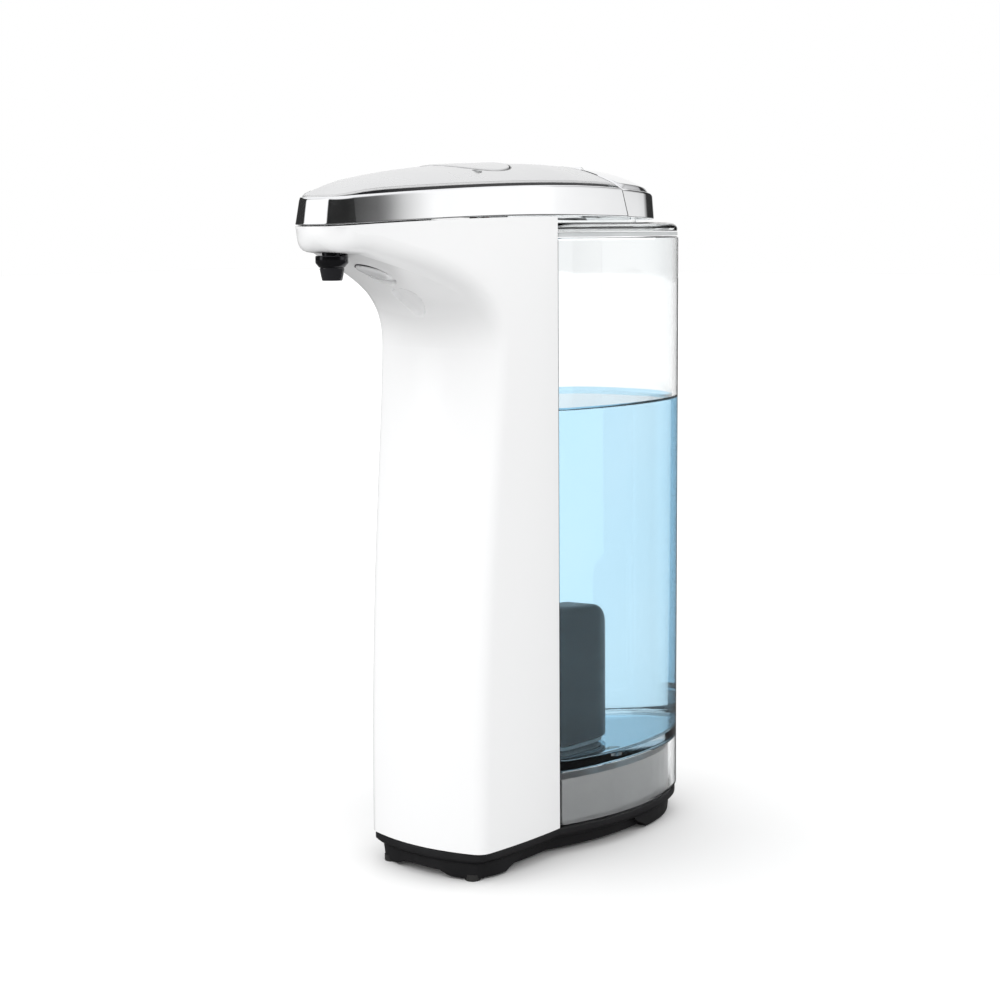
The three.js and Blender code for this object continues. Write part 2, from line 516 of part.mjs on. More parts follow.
// ---- tank, its cover, and the soap ----
function tank() {
  const front = JOINT_Y + GAP;
  const outer = prism(mirrorPoints(tankHalf(0, front)), TANK_BOTTOM, TANK_TOP);
  const above = prism(mirrorPoints(tankHalf(WALL, front + WALL)), FLOOR_TOP, 300);
  const below = prism(mirrorPoints(tankHalf(WALL, front + WALL)), 0, FLOOR_TOP - 2.2);
  const bosses = TANK_SCREWS.map(([x, y]) => rod(2.7, x, y, 22.4, FLOOR_TOP - 1, 16));
  const bores = TANK_SCREWS.map(([x, y]) => rod(1.4, x, y, 20, FLOOR_TOP - 0.9, 12));
  put('tank', 'clear', cut(join(cut(outer, above, below), ...bosses), portal(0), ...bores));
  const plinthOuter = prism(mirrorPoints(tankHalf(WALL + 0.4, front + WALL + 0.4)), BODY_BOTTOM, 22);
  const plinthInner = prism(mirrorPoints(tankHalf(WALL + 2.4, front + WALL + 2.4)), 0, 20);
  const posts = SCREW_PLACES.slice(2).map(([x, y]) => rod(3, x, y, BODY_BOTTOM, 20.5, 16));
  const postBores = SCREW_PLACES.slice(2).map(([x, y]) => rod(1.4, x, y, 0, 17, 12));
  const holes = TANK_SCREWS.map(([x, y]) => rod(1.5, x, y, 10, 30, 12));
  put('tank_plinth', 'grey', cut(join(cut(plinthOuter, plinthInner), ...posts), ...postBores, ...holes));
  TANK_SCREWS.forEach(([x, y], i) => put(`tank_screw_${i + 1}`, 'steel', screw(x, y, 18.1, 2.3, FLOOR_TOP - 1.4)));

  const gasketOuter = prism(mirrorPoints(tankHalf(0.3, front + 0.3)), TANK_TOP + GAP, COVER_BOTTOM - GAP);
  const gasketInner = prism(mirrorPoints(tankHalf(WALL, front + WALL)), 170, 180);
  put('tank_gasket', 'silicone', cut(gasketOuter, gasketInner));
  const lower = prism(mirrorPoints(tankHalf(0.3, front + 0.3)), COVER_BOTTOM, COVER_BOTTOM + 1.2);
  const middle = prism(mirrorPoints(tankHalf(1.4, front + 0.3)), COVER_BOTTOM + 1, COVER_BOTTOM + 2);
  const upper = prism(mirrorPoints(tankHalf(3.2, front + 0.3)), COVER_BOTTOM + 1.8, COVER_TOP);
  const inside = prism(mirrorPoints(tankHalf(4.5, front + 4)), 170, COVER_TOP - 1.4);
  const neck = prism(mirrorPoints(stadiumHalf(15, 7.6, 52)), COVER_BOTTOM + 1, 183);
  const mouth = prism(mirrorPoints(stadiumHalf(13.4, 6, 52)), 160, 190);
  put('tank_cover', 'clear', cut(join(cut(join(lower, middle, upper), inside), neck), mouth));

  const soap = prism(mirrorPoints(tankHalf(WALL + GAP, front + WALL + GAP)), FLOOR_TOP + GAP, SOAP_LEVEL);
  const wet = join(housingBlock(-GAP), collarBlock(-GAP), portal(0), prism(mirrorPoints(uHalf(-0.8, 3, 38)), 20, 30));
  put('liquid_soap', 'soap', cut(soap, wet));
}

// Right-hand half of a plan with a straight front and rounded rear corners.
function uHalf(inset, frontY, rearY, radius = 9) {
  const halfWidth = 13 - inset;
  const r = radius - inset;
  return [[0, frontY], [halfWidth, frontY], ...arcPoints(halfWidth - r, rearY - inset - r, r, 0, Math.PI / 2, 6),
    [0, rearY - inset]];
}

// ---- pump housing and everything in it ----
function housingBlock(inset) {
  const plan = prism(mirrorPoints(uHalf(inset, 9.5, 38)), FLOOR_TOP + 1.6 + Math.min(0, inset), 80);
  const roof = new THREE.Shape();
  roof.moveTo(0, 10);
  roof.lineTo(60, 10);
  roof.lineTo(60, 50);
  roof.lineTo(38 - inset, 58 - inset);
  roof.bezierCurveTo(36 - inset, 67 - inset, 24, 70 - inset, 9, 71 - inset);
  roof.lineTo(0, 71 - inset);
  const geometry = new THREE.ExtrudeGeometry(roof, { depth: 60, bevelEnabled: false, curveSegments: 8 });
  geometry.translate(0, 0, -30);
  geometry.rotateX(Math.PI / 2);
  geometry.rotateZ(Math.PI / 2);
  return plan.intersect(solid(geometry));
}

const collarBlock = (inset) => box(-16 + inset, 16 - inset, 6.1 + Math.min(0, inset), 9.2, 28.6 + inset, 72.5 - inset);

function pump() {
  const base = FLOOR_TOP + 1.6;
  const innerPlan = prism(mirrorPoints(uHalf(WALL, 0, 38)), 0, 200);
  const inner = housingBlock(WALL).add(innerPlan.intersect(box(-20, 20, 5, 30, 20, 60))).add(box(-9.6, 9.6, 5, 12, 32, 64));
  put('pump_housing', 'black', cut(housingBlock(0), inner));
  put('pump_collar', 'grey', cut(collarBlock(0), portal(0)));
  const sealOuter = prism(mirrorPoints(uHalf(0, 9.5, 38)), FLOOR_TOP + GAP, base - GAP);
  put('housing_seal', 'silicone', cut(sealOuter, prism(mirrorPoints(uHalf(WALL, 11.5, 38)), 0, 50)));

  const inlet = [4.6, MOTOR_Y + GEAR_SPACING / 2];
  const basePlate = prism(mirrorPoints(uHalf(WALL + GAP, 9.8, 38)), base, base + 2.5);
  put('pump_base', 'pom', cut(basePlate, rod(1.6, ...inlet, 0, 60, 12)));
  const caseBottom = base + 2.5 + GAP;
  const chamberTop = caseBottom + 7;
  const caseTop = chamberTop + 2;
  const casing = prism(mirrorPoints(uHalf(WALL + GAP, 12, 38)), caseBottom, caseTop);
  const gearCentres = [MOTOR_Y, MOTOR_Y + GEAR_SPACING];
  const chamber = gearCentres.map((y) => rod(5.6, 0, y, 0, chamberTop, 28));
  const portZ = caseBottom + 3.5;
  const outPort = join(rodX(1.3, -7.6, -3, inlet[1], portZ, 12), rodY(1.3, -7.6, 0, inlet[1], portZ, 12));
  const inPort = join(rodX(1.5, 3, 5.4, inlet[1], portZ, 12), rod(1.5, ...inlet, 0, portZ, 12));
  put('gear_case', 'pom', cut(casing, ...chamber, outPort, inPort, rod(1.5, 0, MOTOR_Y, 0, 90, 14)));
  const gearZ = [caseBottom + 0.4, chamberTop - 0.4];
  put('drive_gear', 'pom', gear(MOTOR_Y, gearZ, 1.3));
  put('idler_gear', 'pom', gear(MOTOR_Y + GEAR_SPACING, gearZ, 1.3));
  put('idler_pin', 'steel', rod(1, 0, MOTOR_Y + GEAR_SPACING, caseBottom, chamberTop - GAP, 14));
  const motorZ = caseTop + GAP;
  put('motor_shaft', 'steel', rod(1, 0, MOTOR_Y, caseBottom + 0.4, motorZ + 4, 14));
  const can = cut(rod(9.8, 0, MOTOR_Y, motorZ, motorZ + 21, 28), rod(1.3, 0, MOTOR_Y, 0, motorZ + 5, 14),
    box(-20, 20, MOTOR_Y + 7.6, 60, 0, 90), box(-20, 20, -60, MOTOR_Y - 7.6, 0, 90));
  put('motor', 'steel', can);
  return portZ;
}

// A spur gear about a vertical axis. Its odd number of teeth puts a gap opposite its first tooth.
function gear(y, [z0, z1], bore) {
  const points = [];
  for (let tooth = 0; tooth < GEAR_TEETH; tooth += 1) {
    const middle = Math.PI / 2 + (2 * Math.PI * tooth) / GEAR_TEETH;
    [[3.45, -0.2], [5.2, -0.085], [5.2, 0.085], [3.45, 0.2]].forEach(([radius, offset]) => {
      points.push(new THREE.Vector2(radius * Math.cos(middle + offset), y + radius * Math.sin(middle + offset)));
    });
  }
  return cut(prism(points, z0, z1), rod(bore, 0, y, 0, 90, 14));
}

// ---- soap tube and leads ----
function lines(portZ) {
  put('outlet_tube', 'silicone', tube([[-7.6, 11.6, portZ], [-7.6, 6, portZ], [-7.6, 1.5, portZ + 0.6],
    [-7.6, -1.1, portZ + 4.5], [-7.6, -1.1, 70], [-6, -1.1, 120], [-1.5, -1.1, 160], [0, -2.5, 171], [0, -8, 177],
    [0, -18, 178.6], [0, -36, 178.6], [0, -52, 180.6], [0, -59, 180.8], [0, -62.4, 179], [0, NOZZLE_Y, 176]], 1.9, 44, 8));
  put('motor_lead', 'wire', tube([[4, MOTOR_Y, 63], [4, 15, 63.4], [4, 9.6, 62], [4, 3, 61], [4, -0.6, 65],
    [5, -1.2, 100], [6, -1.2, 150], [6, -3, 174], [5, -6, 181.9]], 1, 26, 8));
  put('battery_lead', 'wire', tube([[9, -11, 110.8], [9, -10.5, 118], [9, -9, 150], [8, -11, 172], [7, -14, 181.9]], 1, 16, 8));
}

base();
batteries();
column();
lid();
powerButton();
spout();
tank();
lines(pump());

export default group;
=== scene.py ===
"""Soap dispenser: refined pieces, materials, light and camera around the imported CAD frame.

Lengths in the piece builders are millimetres, drawn like the CAD with Y = 0 near the joint line
(+Z up, spout towards -Y). make_piece() centres them and turns them into metres.
"""
import json
import math

import bmesh
import bpy
from mathutils import Matrix, Vector


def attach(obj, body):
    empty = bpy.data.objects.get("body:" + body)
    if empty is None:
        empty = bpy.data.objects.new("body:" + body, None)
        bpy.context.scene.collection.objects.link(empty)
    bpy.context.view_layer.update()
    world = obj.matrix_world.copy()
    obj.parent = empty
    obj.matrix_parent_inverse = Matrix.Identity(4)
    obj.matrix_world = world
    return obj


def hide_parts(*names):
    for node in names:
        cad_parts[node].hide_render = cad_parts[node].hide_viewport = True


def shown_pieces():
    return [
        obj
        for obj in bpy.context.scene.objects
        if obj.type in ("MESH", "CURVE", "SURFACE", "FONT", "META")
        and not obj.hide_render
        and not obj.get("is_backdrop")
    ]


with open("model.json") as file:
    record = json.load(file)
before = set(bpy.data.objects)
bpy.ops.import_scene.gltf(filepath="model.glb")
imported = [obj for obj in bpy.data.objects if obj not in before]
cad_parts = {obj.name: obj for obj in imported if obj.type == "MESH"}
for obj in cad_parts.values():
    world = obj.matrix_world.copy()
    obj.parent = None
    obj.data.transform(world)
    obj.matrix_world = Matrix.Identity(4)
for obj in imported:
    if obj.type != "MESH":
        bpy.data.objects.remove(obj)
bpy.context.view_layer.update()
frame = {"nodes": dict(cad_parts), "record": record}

MM = 0.001

# ---- driving dimensions, in millimetres ----
CORNER_AT = 63.3         # boundary length from its start to the shell's top rear corner
FILLET_FOOT = (-20, 146)                 # where the crease line starts to curve forward
FILLET_END = (-60.5, 172.2)              # where it runs straight on to the tip
LEVEL_TO = 118           # up to here the rows of the column's mesh are level
SHELL_WALL = 1.2         # column and arm
PLATE_WALL = 0.6
FLAP_WALL = 1.5
TANK_WALL = 1.4          # tank and its cover
GAP = 0.15               # half the gap between the lid and the column
JOINT_Y = 3.5            # rear face of the white column
COLUMN_FRONT_Y = -28.5   # front corners of the column at its foot
TIP_Y = -69.5            # front end of the arm and lid
BODY_HALF = 22.9         # half width of the column at its rear face
SIDE_RADIUS = 187.0      # plan radius of the column and arm sides
TIP_RADIUS = 7.5         # plan radius of the arm tip corners
TIP_FLAT = 3.1           # half width of the flat between those corners
FLAP_RADIUS = 18.0       # plan radius of the flap's rear corners
FLAP_REAR_Y = 64.7
BAND_INSET = 2.0         # width of the chrome rim round the plate
BODY_BOTTOM = 8.5
TANK_HALF = 30.5
TANK_REAR_Y = 73.5
TANK_WIDEST_Y = 37.0
TANK_FRONT_Y = 3.8
TANK_BOW = 147           # the tank's sides bow in by distance squared over this
TANK_SQUARENESS = 0.8    # power of the cosine and sine that round the tank's rear
TANK_BOTTOM = 9.1
FLOOR_TOP = 27.0
TANK_TOP = 175.4
COVER_BOTTOM = 177.0
COVER_TOP = 179.6
SOAP_LEVEL = 127.5
NECK_Y = 52.0            # middle of the filling neck
NOZZLE_Y = -63.0
BUTTON_Y = -9.5
BUTTON_RADIUS = 13.0
BUTTON_WELL_RADIUS = 13.65    # radius of the plate's hole round the button, and outside of the black ring of painted shade that lines it
HINGE_Y = 35.5
HINGE_Z = 194.0
SEAM_SLOPE = 0.318       # lean of the seam between the lid and its flap
PLATE_SIDE_Y = (14.0, 25.0)              # stations along the lid's straight sides
INDICATOR = (12.3, -18.5)
INDICATOR_RADIUS = 1.35
SENSOR_Y = -45.8
SENSOR_Z = 167.7
SENSOR_TILT = -16.0      # degrees
SENSOR_PIVOT = (0, SENSOR_Y, SENSOR_Z)
PUMP_HALF = 13.0
PUMP_FRONT_Y = 10.5
PUMP_REAR_Y = 39.6
PUMP_CORNER = 9.0
PUMP_BOTTOM = 28.6
PASSAGE = (-9.6, 9.6, -5, 14, 32, 64)    # x, y and z limits of the way through for tube and lead
TANK_SCREWS = ((-20.5, 30.0), (20.5, 30.0))
BASE_SCREWS = ((-9.0, -1.1), (9.0, -1.1), (-15.0, 60.0), (15.0, 60.0))
CENTRE_Y = (TIP_Y + TANK_REAR_Y) / 2     # the drawing's middle, which becomes Y = 0


# ---- mesh helpers ----
def make_piece(name, points, faces, body, slot, finish, stands_for=(), crease=38.0):
    """A mesh from millimetre points, smooth except at edges sharper than crease degrees."""
    mesh = bpy.data.meshes.new(name)
    mesh.from_pydata([(x * MM, (y - CENTRE_Y) * MM, z * MM) for x, y, z in points], [], faces)
    piece = bpy.data.objects.new(name, mesh)
    bpy.context.collection.objects.link(piece)
    weld(piece)
    soften(piece, crease)
    if finish:
        mesh.materials.append(finish)
    if body:
        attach(piece, body)
    if stands_for:
        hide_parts(*stands_for)
    return piece


def weld(piece, distance=0.004):
    """Merges points closer than distance millimetres and turns all faces outward."""
    work = bmesh.new()
    work.from_mesh(piece.data)
    bmesh.ops.remove_doubles(work, verts=work.verts, dist=distance * MM)
    bmesh.ops.dissolve_degenerate(work, edges=work.edges, dist=distance * MM * 0.2)
    bmesh.ops.recalc_face_normals(work, faces=work.faces)
    work.to_mesh(piece.data)
    work.free()


def soften(piece, crease):
    """Smooth shading, broken at edges sharper than crease degrees."""
    piece.data.shade_smooth()
    piece.data.set_sharp_from_angle(angle=math.radians(crease))


def even_shading(piece):
    """Large faces rule the shading, so flat and gently curved walls stay free of ripples."""
    step = piece.modifiers.new("shading", "WEIGHTED_NORMAL")
    step.keep_sharp = True
    step.weight = 100


def apply_modifiers(piece, crease=38.0):
    """Keeps the mesh as its modifiers leave it."""
    graph = bpy.context.evaluated_depsgraph_get()
    mesh = bpy.data.meshes.new_from_object(piece.evaluated_get(graph))
    piece.modifiers.clear()
    piece.data = mesh
    weld(piece)
    soften(piece, crease)


def carve(piece, cutter, operation="DIFFERENCE", crease=38.0, tangled=False):
    """Cuts the cutter away from piece, or joins it on, and throws the cutter away."""
    step = piece.modifiers.new("carve", "BOOLEAN")
    step.operation = operation
    step.solver = "EXACT"
    step.use_self = tangled
    step.object = cutter
    apply_modifiers(piece, crease)
    bpy.data.objects.remove(cutter)


def thicken(piece, wall, crease=38.0):
    """Gives an open surface a wall on its inner side."""
    mesh = piece.data
    middle = sum((v.co for v in mesh.vertices), Vector()) / len(mesh.vertices)
    if sum(face.area * face.normal.dot(face.center - middle) for face in mesh.polygons) < 0:
        mesh.flip_normals()
    step = piece.modifiers.new("wall", "SOLIDIFY")
    step.thickness = wall * MM
    step.offset = -1.0
    apply_modifiers(piece, crease)


def bridge(rings, closed_ring=True, cap_first=False, cap_last=False):
    """Faces between consecutive rings of equal length."""
    count = len(rings[0])
    points = [point for ring in rings for point in ring]
    faces = []
    span = count if closed_ring else count - 1
    for r in range(len(rings) - 1):
        for i in range(span):
            j = (i + 1) % count
            faces.append((r * count + i, r * count + j, (r + 1) * count + j, (r + 1) * count + i))
    if cap_first:
        faces.append(tuple(range(count))[::-1])
    if cap_last:
        faces.append(tuple(range((len(rings) - 1) * count, len(rings) * count)))
    return points, faces


def turned(profile, cx, cy, sides=64):
    """Rings of a profile of (radius, z) turned about a vertical axis, closed at both ends."""
    rings = []
    for radius, z in profile:
        ring = []
        for i in range(sides):
            angle = 2 * math.pi * i / sides
            ring.append((cx + radius * math.cos(angle), cy + radius * math.sin(angle), z))
        rings.append(ring)
    return bridge(rings, cap_first=True, cap_last=True)


def lathe(profile, cx, cy, sides=64):
    """A closed ring-shaped turned body, whose profile is itself a loop."""
    points, faces = [], []
    count = len(profile)
    for i in range(sides):
        angle = 2 * math.pi * i / sides
        for radius, z in profile:
            points.append((cx + radius * math.cos(angle), cy + radius * math.sin(angle), z))
        for k in range(count):
            a = i * count + k
            b = i * count + (k + 1) % count
            c = ((i + 1) % sides) * count + (k + 1) % count
            d = ((i + 1) % sides) * count + k
            faces.append((a, b, c, d))
    return points, faces


def block(x0, x1, y0, y1, z0, z1):
    """Points and faces of a box, for cutting and for thin strips."""
    ring = [(x0, y0), (x1, y0), (x1, y1), (x0, y1)]
    return bridge([[(x, y, z) for x, y in ring] for z in (z0, z1)], cap_first=True, cap_last=True)


def tool(points_faces):
    """A throw-away piece for carve()."""
    points, faces = points_faces
    return make_piece("tool", points, faces, None, None, None)


def shaft(radius, x, y, sides):
    """A tall round cutter through the lid's height."""
    return tool(turned([(0.0, 170), (radius, 170), (radius, 210), (0.0, 210)], x, y, sides))


def tilted(points, pivot, degrees):
    """Points turned about an X axis through pivot."""
    turn = Matrix.Rotation(math.radians(degrees), 3, "X")
    centre = Vector(pivot)
    return [tuple(turn @ (Vector(p) - centre) + centre) for p in points]


# ---- shared outlines ----
def side_at(y, inset=0.0):
    """Half width of the column, arm and lid at depth y."""
    d = max(0.0, JOINT_Y - y)
    return BODY_HALF - inset - (SIDE_RADIUS - math.sqrt(SIDE_RADIUS ** 2 - d * d))


def lid_half_width(y):
    """Half width of the whole lid's plan, with its rounded tip and rear."""
    tip_centre = TIP_Y + TIP_RADIUS
    rear_centre = FLAP_REAR_Y - FLAP_RADIUS
    if y < tip_centre - 2.5:
        return TIP_FLAT + math.sqrt(max(0.0, TIP_RADIUS ** 2 - (y - tip_centre) ** 2))
    if y > rear_centre:
        return BODY_HALF - FLAP_RADIUS + math.sqrt(max(0.0, FLAP_RADIUS ** 2 - (y - rear_centre) ** 2))
    return side_at(y)


def lid_edge(y):
    """Height of the chrome band's top edge."""
    return 189.8 - (y - 15.5) ** 2 / (2030 if y < 15.5 else 800)


def lid_joint(y):
    """Height of the joint between the lid and the column."""
    return 181.3 - (y + 1.5) ** 2 / (2100 if y < -1.5 else 3400)


def lid_top(x, y):
    """Height of the lid's domed top, which flattens out towards the tip."""
    width = max(0.5, lid_half_width(y))
    rise = min(1.0, max(0.0, (y - TIP_Y - 1.6) / 13.0))
    return lid_edge(y) + 0.28 * width * (1 - min(1.0, (x / width) ** 2)) * (1 - (1 - rise) ** 2)


def seam_y(z, shift=0.0):
    """The slanted seam plane between the lid and its flap."""
    return 35.5 + shift + (189.5 - z) * SEAM_SLOPE


def arc(cx, cy, radius, start, end, count):
    """Stations (x, y, normal x, normal y) along an arc, both ends included."""
    stations = []
    for i in range(count + 1):
        angle = start + (end - start) * i / count
        nx, ny = math.cos(angle), math.sin(angle)
        stations.append((cx + radius * nx, cy + radius * ny, nx, ny))
    return stations


def left_side(half):
    """The left-hand stations that complete a right-hand half, in reverse order."""
    return [(-x, y, -nx, ny) for x, y, nx, ny in reversed(half)]


def both_sides(half):
    """A closed loop of (x, y) from its right-hand half."""
    return half + [(-x, y) for x, y in reversed(half) if x > 1e-6]


def front_lid_half():
    """Right-hand half of the lid's front part, from the tip to where the seam begins."""
    lean = math.asin((JOINT_Y - TIP_Y - TIP_RADIUS) / (SIDE_RADIUS - TIP_RADIUS))
    half = [(0.0, TIP_Y, 0.0, -1.0), (TIP_FLAT * 0.5, TIP_Y, 0.0, -1.0)]
    half += arc(TIP_FLAT, TIP_Y + TIP_RADIUS, TIP_RADIUS, -math.pi / 2, -lean, 16)
    half += arc(BODY_HALF - SIDE_RADIUS, JOINT_Y, SIDE_RADIUS, -lean, 0.0, 22)[1:]
    return half


def lid_sides(*depths):
    """Right-hand half of the lid's front part, carried on along its straight side to the depths."""
    return front_lid_half() + [(BODY_HALF, y, 1.0, 0.0) for y in depths]


def rear_lid_half():
    """Right-hand half of the flap's outline behind the seam, ending at the rear centre."""
    half = [(BODY_HALF, y, 1.0, 0.0) for y in (40.0, 43.5)]
    half += arc(BODY_HALF - FLAP_RADIUS, FLAP_REAR_Y - FLAP_RADIUS, FLAP_RADIUS, 0.0, math.pi / 2, 24)
    half += [(2.4, FLAP_REAR_Y, 0.0, 1.0), (0.0, FLAP_REAR_Y, 0.0, 1.0)]
    return half


def inward(station, inset):
    """A station's (x, y), moved against its normal."""
    x, y, nx, ny = station
    return x - inset * nx, y - inset * ny


def tank_outline(inset=0.0, front=TANK_FRONT_Y):
    """The tank's plan as a closed loop of (x, y), with small rounded front corners."""
    half_width = TANK_HALF - inset
    rear = TANK_REAR_Y - inset - TANK_WIDEST_Y
    at_front = half_width - (TANK_WIDEST_Y - front) ** 2 / TANK_BOW
    corner = 1.2
    half = [(x, front) for x in (0.0, at_front * 0.35, at_front * 0.7, at_front - corner)]
    half += [(at_front - corner * 0.35, front + corner * 0.3)]
    side_steps, rear_steps = 22, 40
    first = front + corner
    for i in range(side_steps):
        y = first + (TANK_WIDEST_Y - first) * i / side_steps
        half.append((half_width - (TANK_WIDEST_Y - y) ** 2 / TANK_BOW, y))
    for i in range(rear_steps):
        angle = math.pi / 2 * i / rear_steps
        half.append((half_width * math.cos(angle) ** TANK_SQUARENESS,
                     TANK_WIDEST_Y + rear * math.sin(angle) ** TANK_SQUARENESS))
    half.append((0.0, TANK_WIDEST_Y + rear))
    return both_sides(half)


# ---- shader node helpers ----
def feed(links, socket, value):
    """Links value to a socket if it is a socket itself, or else sets it as the socket's value."""
    if isinstance(value, bpy.types.NodeSocket):
        links.new(value, socket)
    else:
        socket.default_value = value


def maths(nodes, links, operation, *values, clamp=False):
    """A sum on numbers or sockets."""
    node = nodes.new("ShaderNodeMath")
    node.operation = operation
    node.use_clamp = clamp
    for socket, value in zip(node.inputs, values):
        feed(links, socket, value)
    return node.outputs["Value"]


def blend(nodes, links, factor, first, second):
    """A colour mix."""
    node = nodes.new("ShaderNodeMix")
    node.data_type = "RGBA"
    links.new(factor, node.inputs["Factor"])
    for name, value in (("A", first), ("B", second)):
        feed(links, next(s for s in node.inputs if s.name == name and s.type == "RGBA"), value)
    return next(s for s in node.outputs if s.type == "RGBA")


# ---- materials ----
def new_material(name):
    look = bpy.data.materials.new(name)
    look.use_nodes = True
    nodes = look.node_tree.nodes
    return look, nodes, look.node_tree.links, nodes["Principled BSDF"]


def finish_material(name, colour, shade, roughness, spread=0.05, metallic=0.0, patch=60.0,
                    grain=900.0, grain_height=0.01, wear=None, sockets=None):
    """A moulded or plated surface: patchy colour, uneven gloss, fine grain and optional edge wear.

    colour and shade are the two tones it drifts between, patch and grain are noise scales per metre,
    and grain_height is the relief in millimetres.
    """
    look, nodes, links, shader = new_material(name)
    where = nodes.new("ShaderNodeTexCoord").outputs["Object"]

    def noise(scale, detail):
        node = nodes.new("ShaderNodeTexNoise")
        node.inputs["Scale"].default_value = scale
        node.inputs["Detail"].default_value = detail
        links.new(where, node.inputs["Vector"])
        return node.outputs["Fac"]

    def ranged(source, low, high, out_low, out_high):
        node = nodes.new("ShaderNodeMapRange")
        limits = {"From Min": low, "From Max": high, "To Min": out_low, "To Max": out_high}
        for socket, value in limits.items():
            node.inputs[socket].default_value = value
        links.new(source, node.inputs["Value"])
        return node.outputs["Result"]

    drift = noise(patch, 3.0)
    tone = blend(nodes, links, ranged(drift, 0.3, 0.7, 0.0, 1.0), colour + (1.0,), shade + (1.0,))
    if wear:
        edges = nodes.new("ShaderNodeNewGeometry").outputs["Pointiness"]
        scuffs = maths(nodes, links, "MULTIPLY", ranged(edges, 0.56, 0.72, 0.0, 0.5),
                       ranged(noise(700.0, 4.0), 0.4, 0.6, 0.0, 1.0))
        tone = blend(nodes, links, scuffs, tone, wear + (1.0,))
    links.new(tone, shader.inputs["Base Color"])
    gloss = noise(patch * 4, 5.0)
    links.new(ranged(gloss, 0.3, 0.7, roughness - spread, roughness + spread),
              shader.inputs["Roughness"])
    relief = nodes.new("ShaderNodeBump")
    relief.inputs["Strength"].default_value = 1.0
    relief.inputs["Distance"].default_value = grain_height * MM
    links.new(noise(grain, 2.0), relief.inputs["Height"])
    links.new(relief.outputs["Normal"], shader.inputs["Normal"])
    shader.inputs["Metallic"].default_value = metallic
    for socket, value in (sockets or {}).items():
        shader.inputs[socket].default_value = value
    return look


def make_materials():
    """One finish for each material slot, and the frosted sensor window."""
    looks = {}

    def add(name, *tones_and_gloss, **rest):
        looks[name] = finish_material(name, *tones_and_gloss, **rest)

    add("white_abs", (0.815, 0.817, 0.82), (0.811, 0.814, 0.818), 0.26, 0.012, patch=9.0, grain=500.0,
        grain_height=0.0012, sockets={"Coat Weight": 0.25, "Coat Roughness": 0.12})
    add("black_abs", (0.010, 0.010, 0.011), (0.015, 0.015, 0.016), 0.40, 0.07, grain=2200.0,
        grain_height=0.008, wear=(0.06, 0.06, 0.062), sockets={"Specular IOR Level": 0.3})
    add("rubber", (0.016, 0.016, 0.016), (0.03, 0.029, 0.028), 0.82, 0.08, grain=1800.0,
        grain_height=0.03)
    add("chrome", (0.90, 0.905, 0.91), (0.87, 0.875, 0.885), 0.06, 0.025, metallic=1.0, grain=220.0,
        grain_height=0.0015)
    add("satin_silver", (0.53, 0.532, 0.535), (0.515, 0.517, 0.52), 0.30, 0.04, metallic=0.4,
        patch=14.0, grain=1500.0, grain_height=0.001)
    add("clear_plastic", (0.975, 0.985, 0.985), (0.96, 0.975, 0.98), 0.02, 0.012, patch=40.0,
        grain=120.0, grain_height=0.003,
        sockets={"Transmission Weight": 1.0, "IOR": 1.49, "Specular IOR Level": 0.25})
    add("frosted", (0.90, 0.905, 0.91), (0.87, 0.875, 0.885), 0.12, 0.04, patch=150.0, grain=900.0,
        grain_height=0.002, sockets={"Transmission Weight": 0.25, "IOR": 1.49})
    add("soap", (0.52, 0.79, 0.955), (0.56, 0.81, 0.96), 0.03, 0.02, patch=25.0, grain=60.0,
        grain_height=0.01, sockets={"Transmission Weight": 1.0, "IOR": 1.25, "Specular IOR Level": 0.2})
    add("grey_plastic", (0.33, 0.335, 0.34), (0.42, 0.425, 0.43), 0.36, 0.06, metallic=0.35,
        grain=1600.0, grain_height=0.01)
    add("steel", (0.60, 0.605, 0.61), (0.50, 0.505, 0.515), 0.26, 0.08, metallic=1.0, patch=220.0,
        grain=1400.0, grain_height=0.006)
    add("pom", (0.82, 0.80, 0.73), (0.76, 0.74, 0.67), 0.45, 0.06, patch=120.0, grain=1500.0,
        grain_height=0.01)
    add("circuit_board", (0.02, 0.15, 0.055), (0.03, 0.20, 0.08), 0.40, 0.08, patch=420.0,
        grain=1900.0, grain_height=0.02)
    add("silicone", (0.70, 0.72, 0.72), (0.62, 0.64, 0.65), 0.55, 0.08, patch=90.0, grain=900.0,
        grain_height=0.01, sockets={"Transmission Weight": 0.25})
    add("dark_chrome", (0.045, 0.045, 0.048), (0.03, 0.03, 0.033), 0.13, 0.04, metallic=0.9,
        patch=150.0, grain=700.0, grain_height=0.002)
    add("black_gloss", (0.010, 0.010, 0.012), (0.016, 0.016, 0.018), 0.16, 0.05, patch=120.0,
        grain=600.0, grain_height=0.004)
    add("battery_sleeve", (0.05, 0.13, 0.32), (0.07, 0.17, 0.38), 0.32, 0.06, metallic=0.4,
        patch=180.0, grain=900.0, grain_height=0.01, wear=(0.45, 0.45, 0.46))
    add("wire", (0.36, 0.02, 0.02), (0.28, 0.015, 0.015), 0.48, 0.08, patch=260.0, grain=1200.0,
        grain_height=0.01)
    return looks


def dress_frame(looks):
    """Gives every CAD node the finish that its material slot names."""
    for part in frame["record"]["subparts"]:
        for name in part.get("nodes", [part.get("node")]):
            node = frame["nodes"].get(name)
            if node is not None:
                node.data.materials.clear()
                node.data.materials.append(looks[part["material_slot"]])


# ---- white column and arm ----
def bezier(p0, p1, p2, p3, t):
    """A point of a cubic Bezier curve."""
    a, b, c, d = (1 - t) ** 3, 3 * t * (1 - t) ** 2, 3 * t * t * (1 - t), t ** 3
    return tuple(a * w + b * x + c * y + d * z for w, x, y, z in zip(p0, p1, p2, p3))


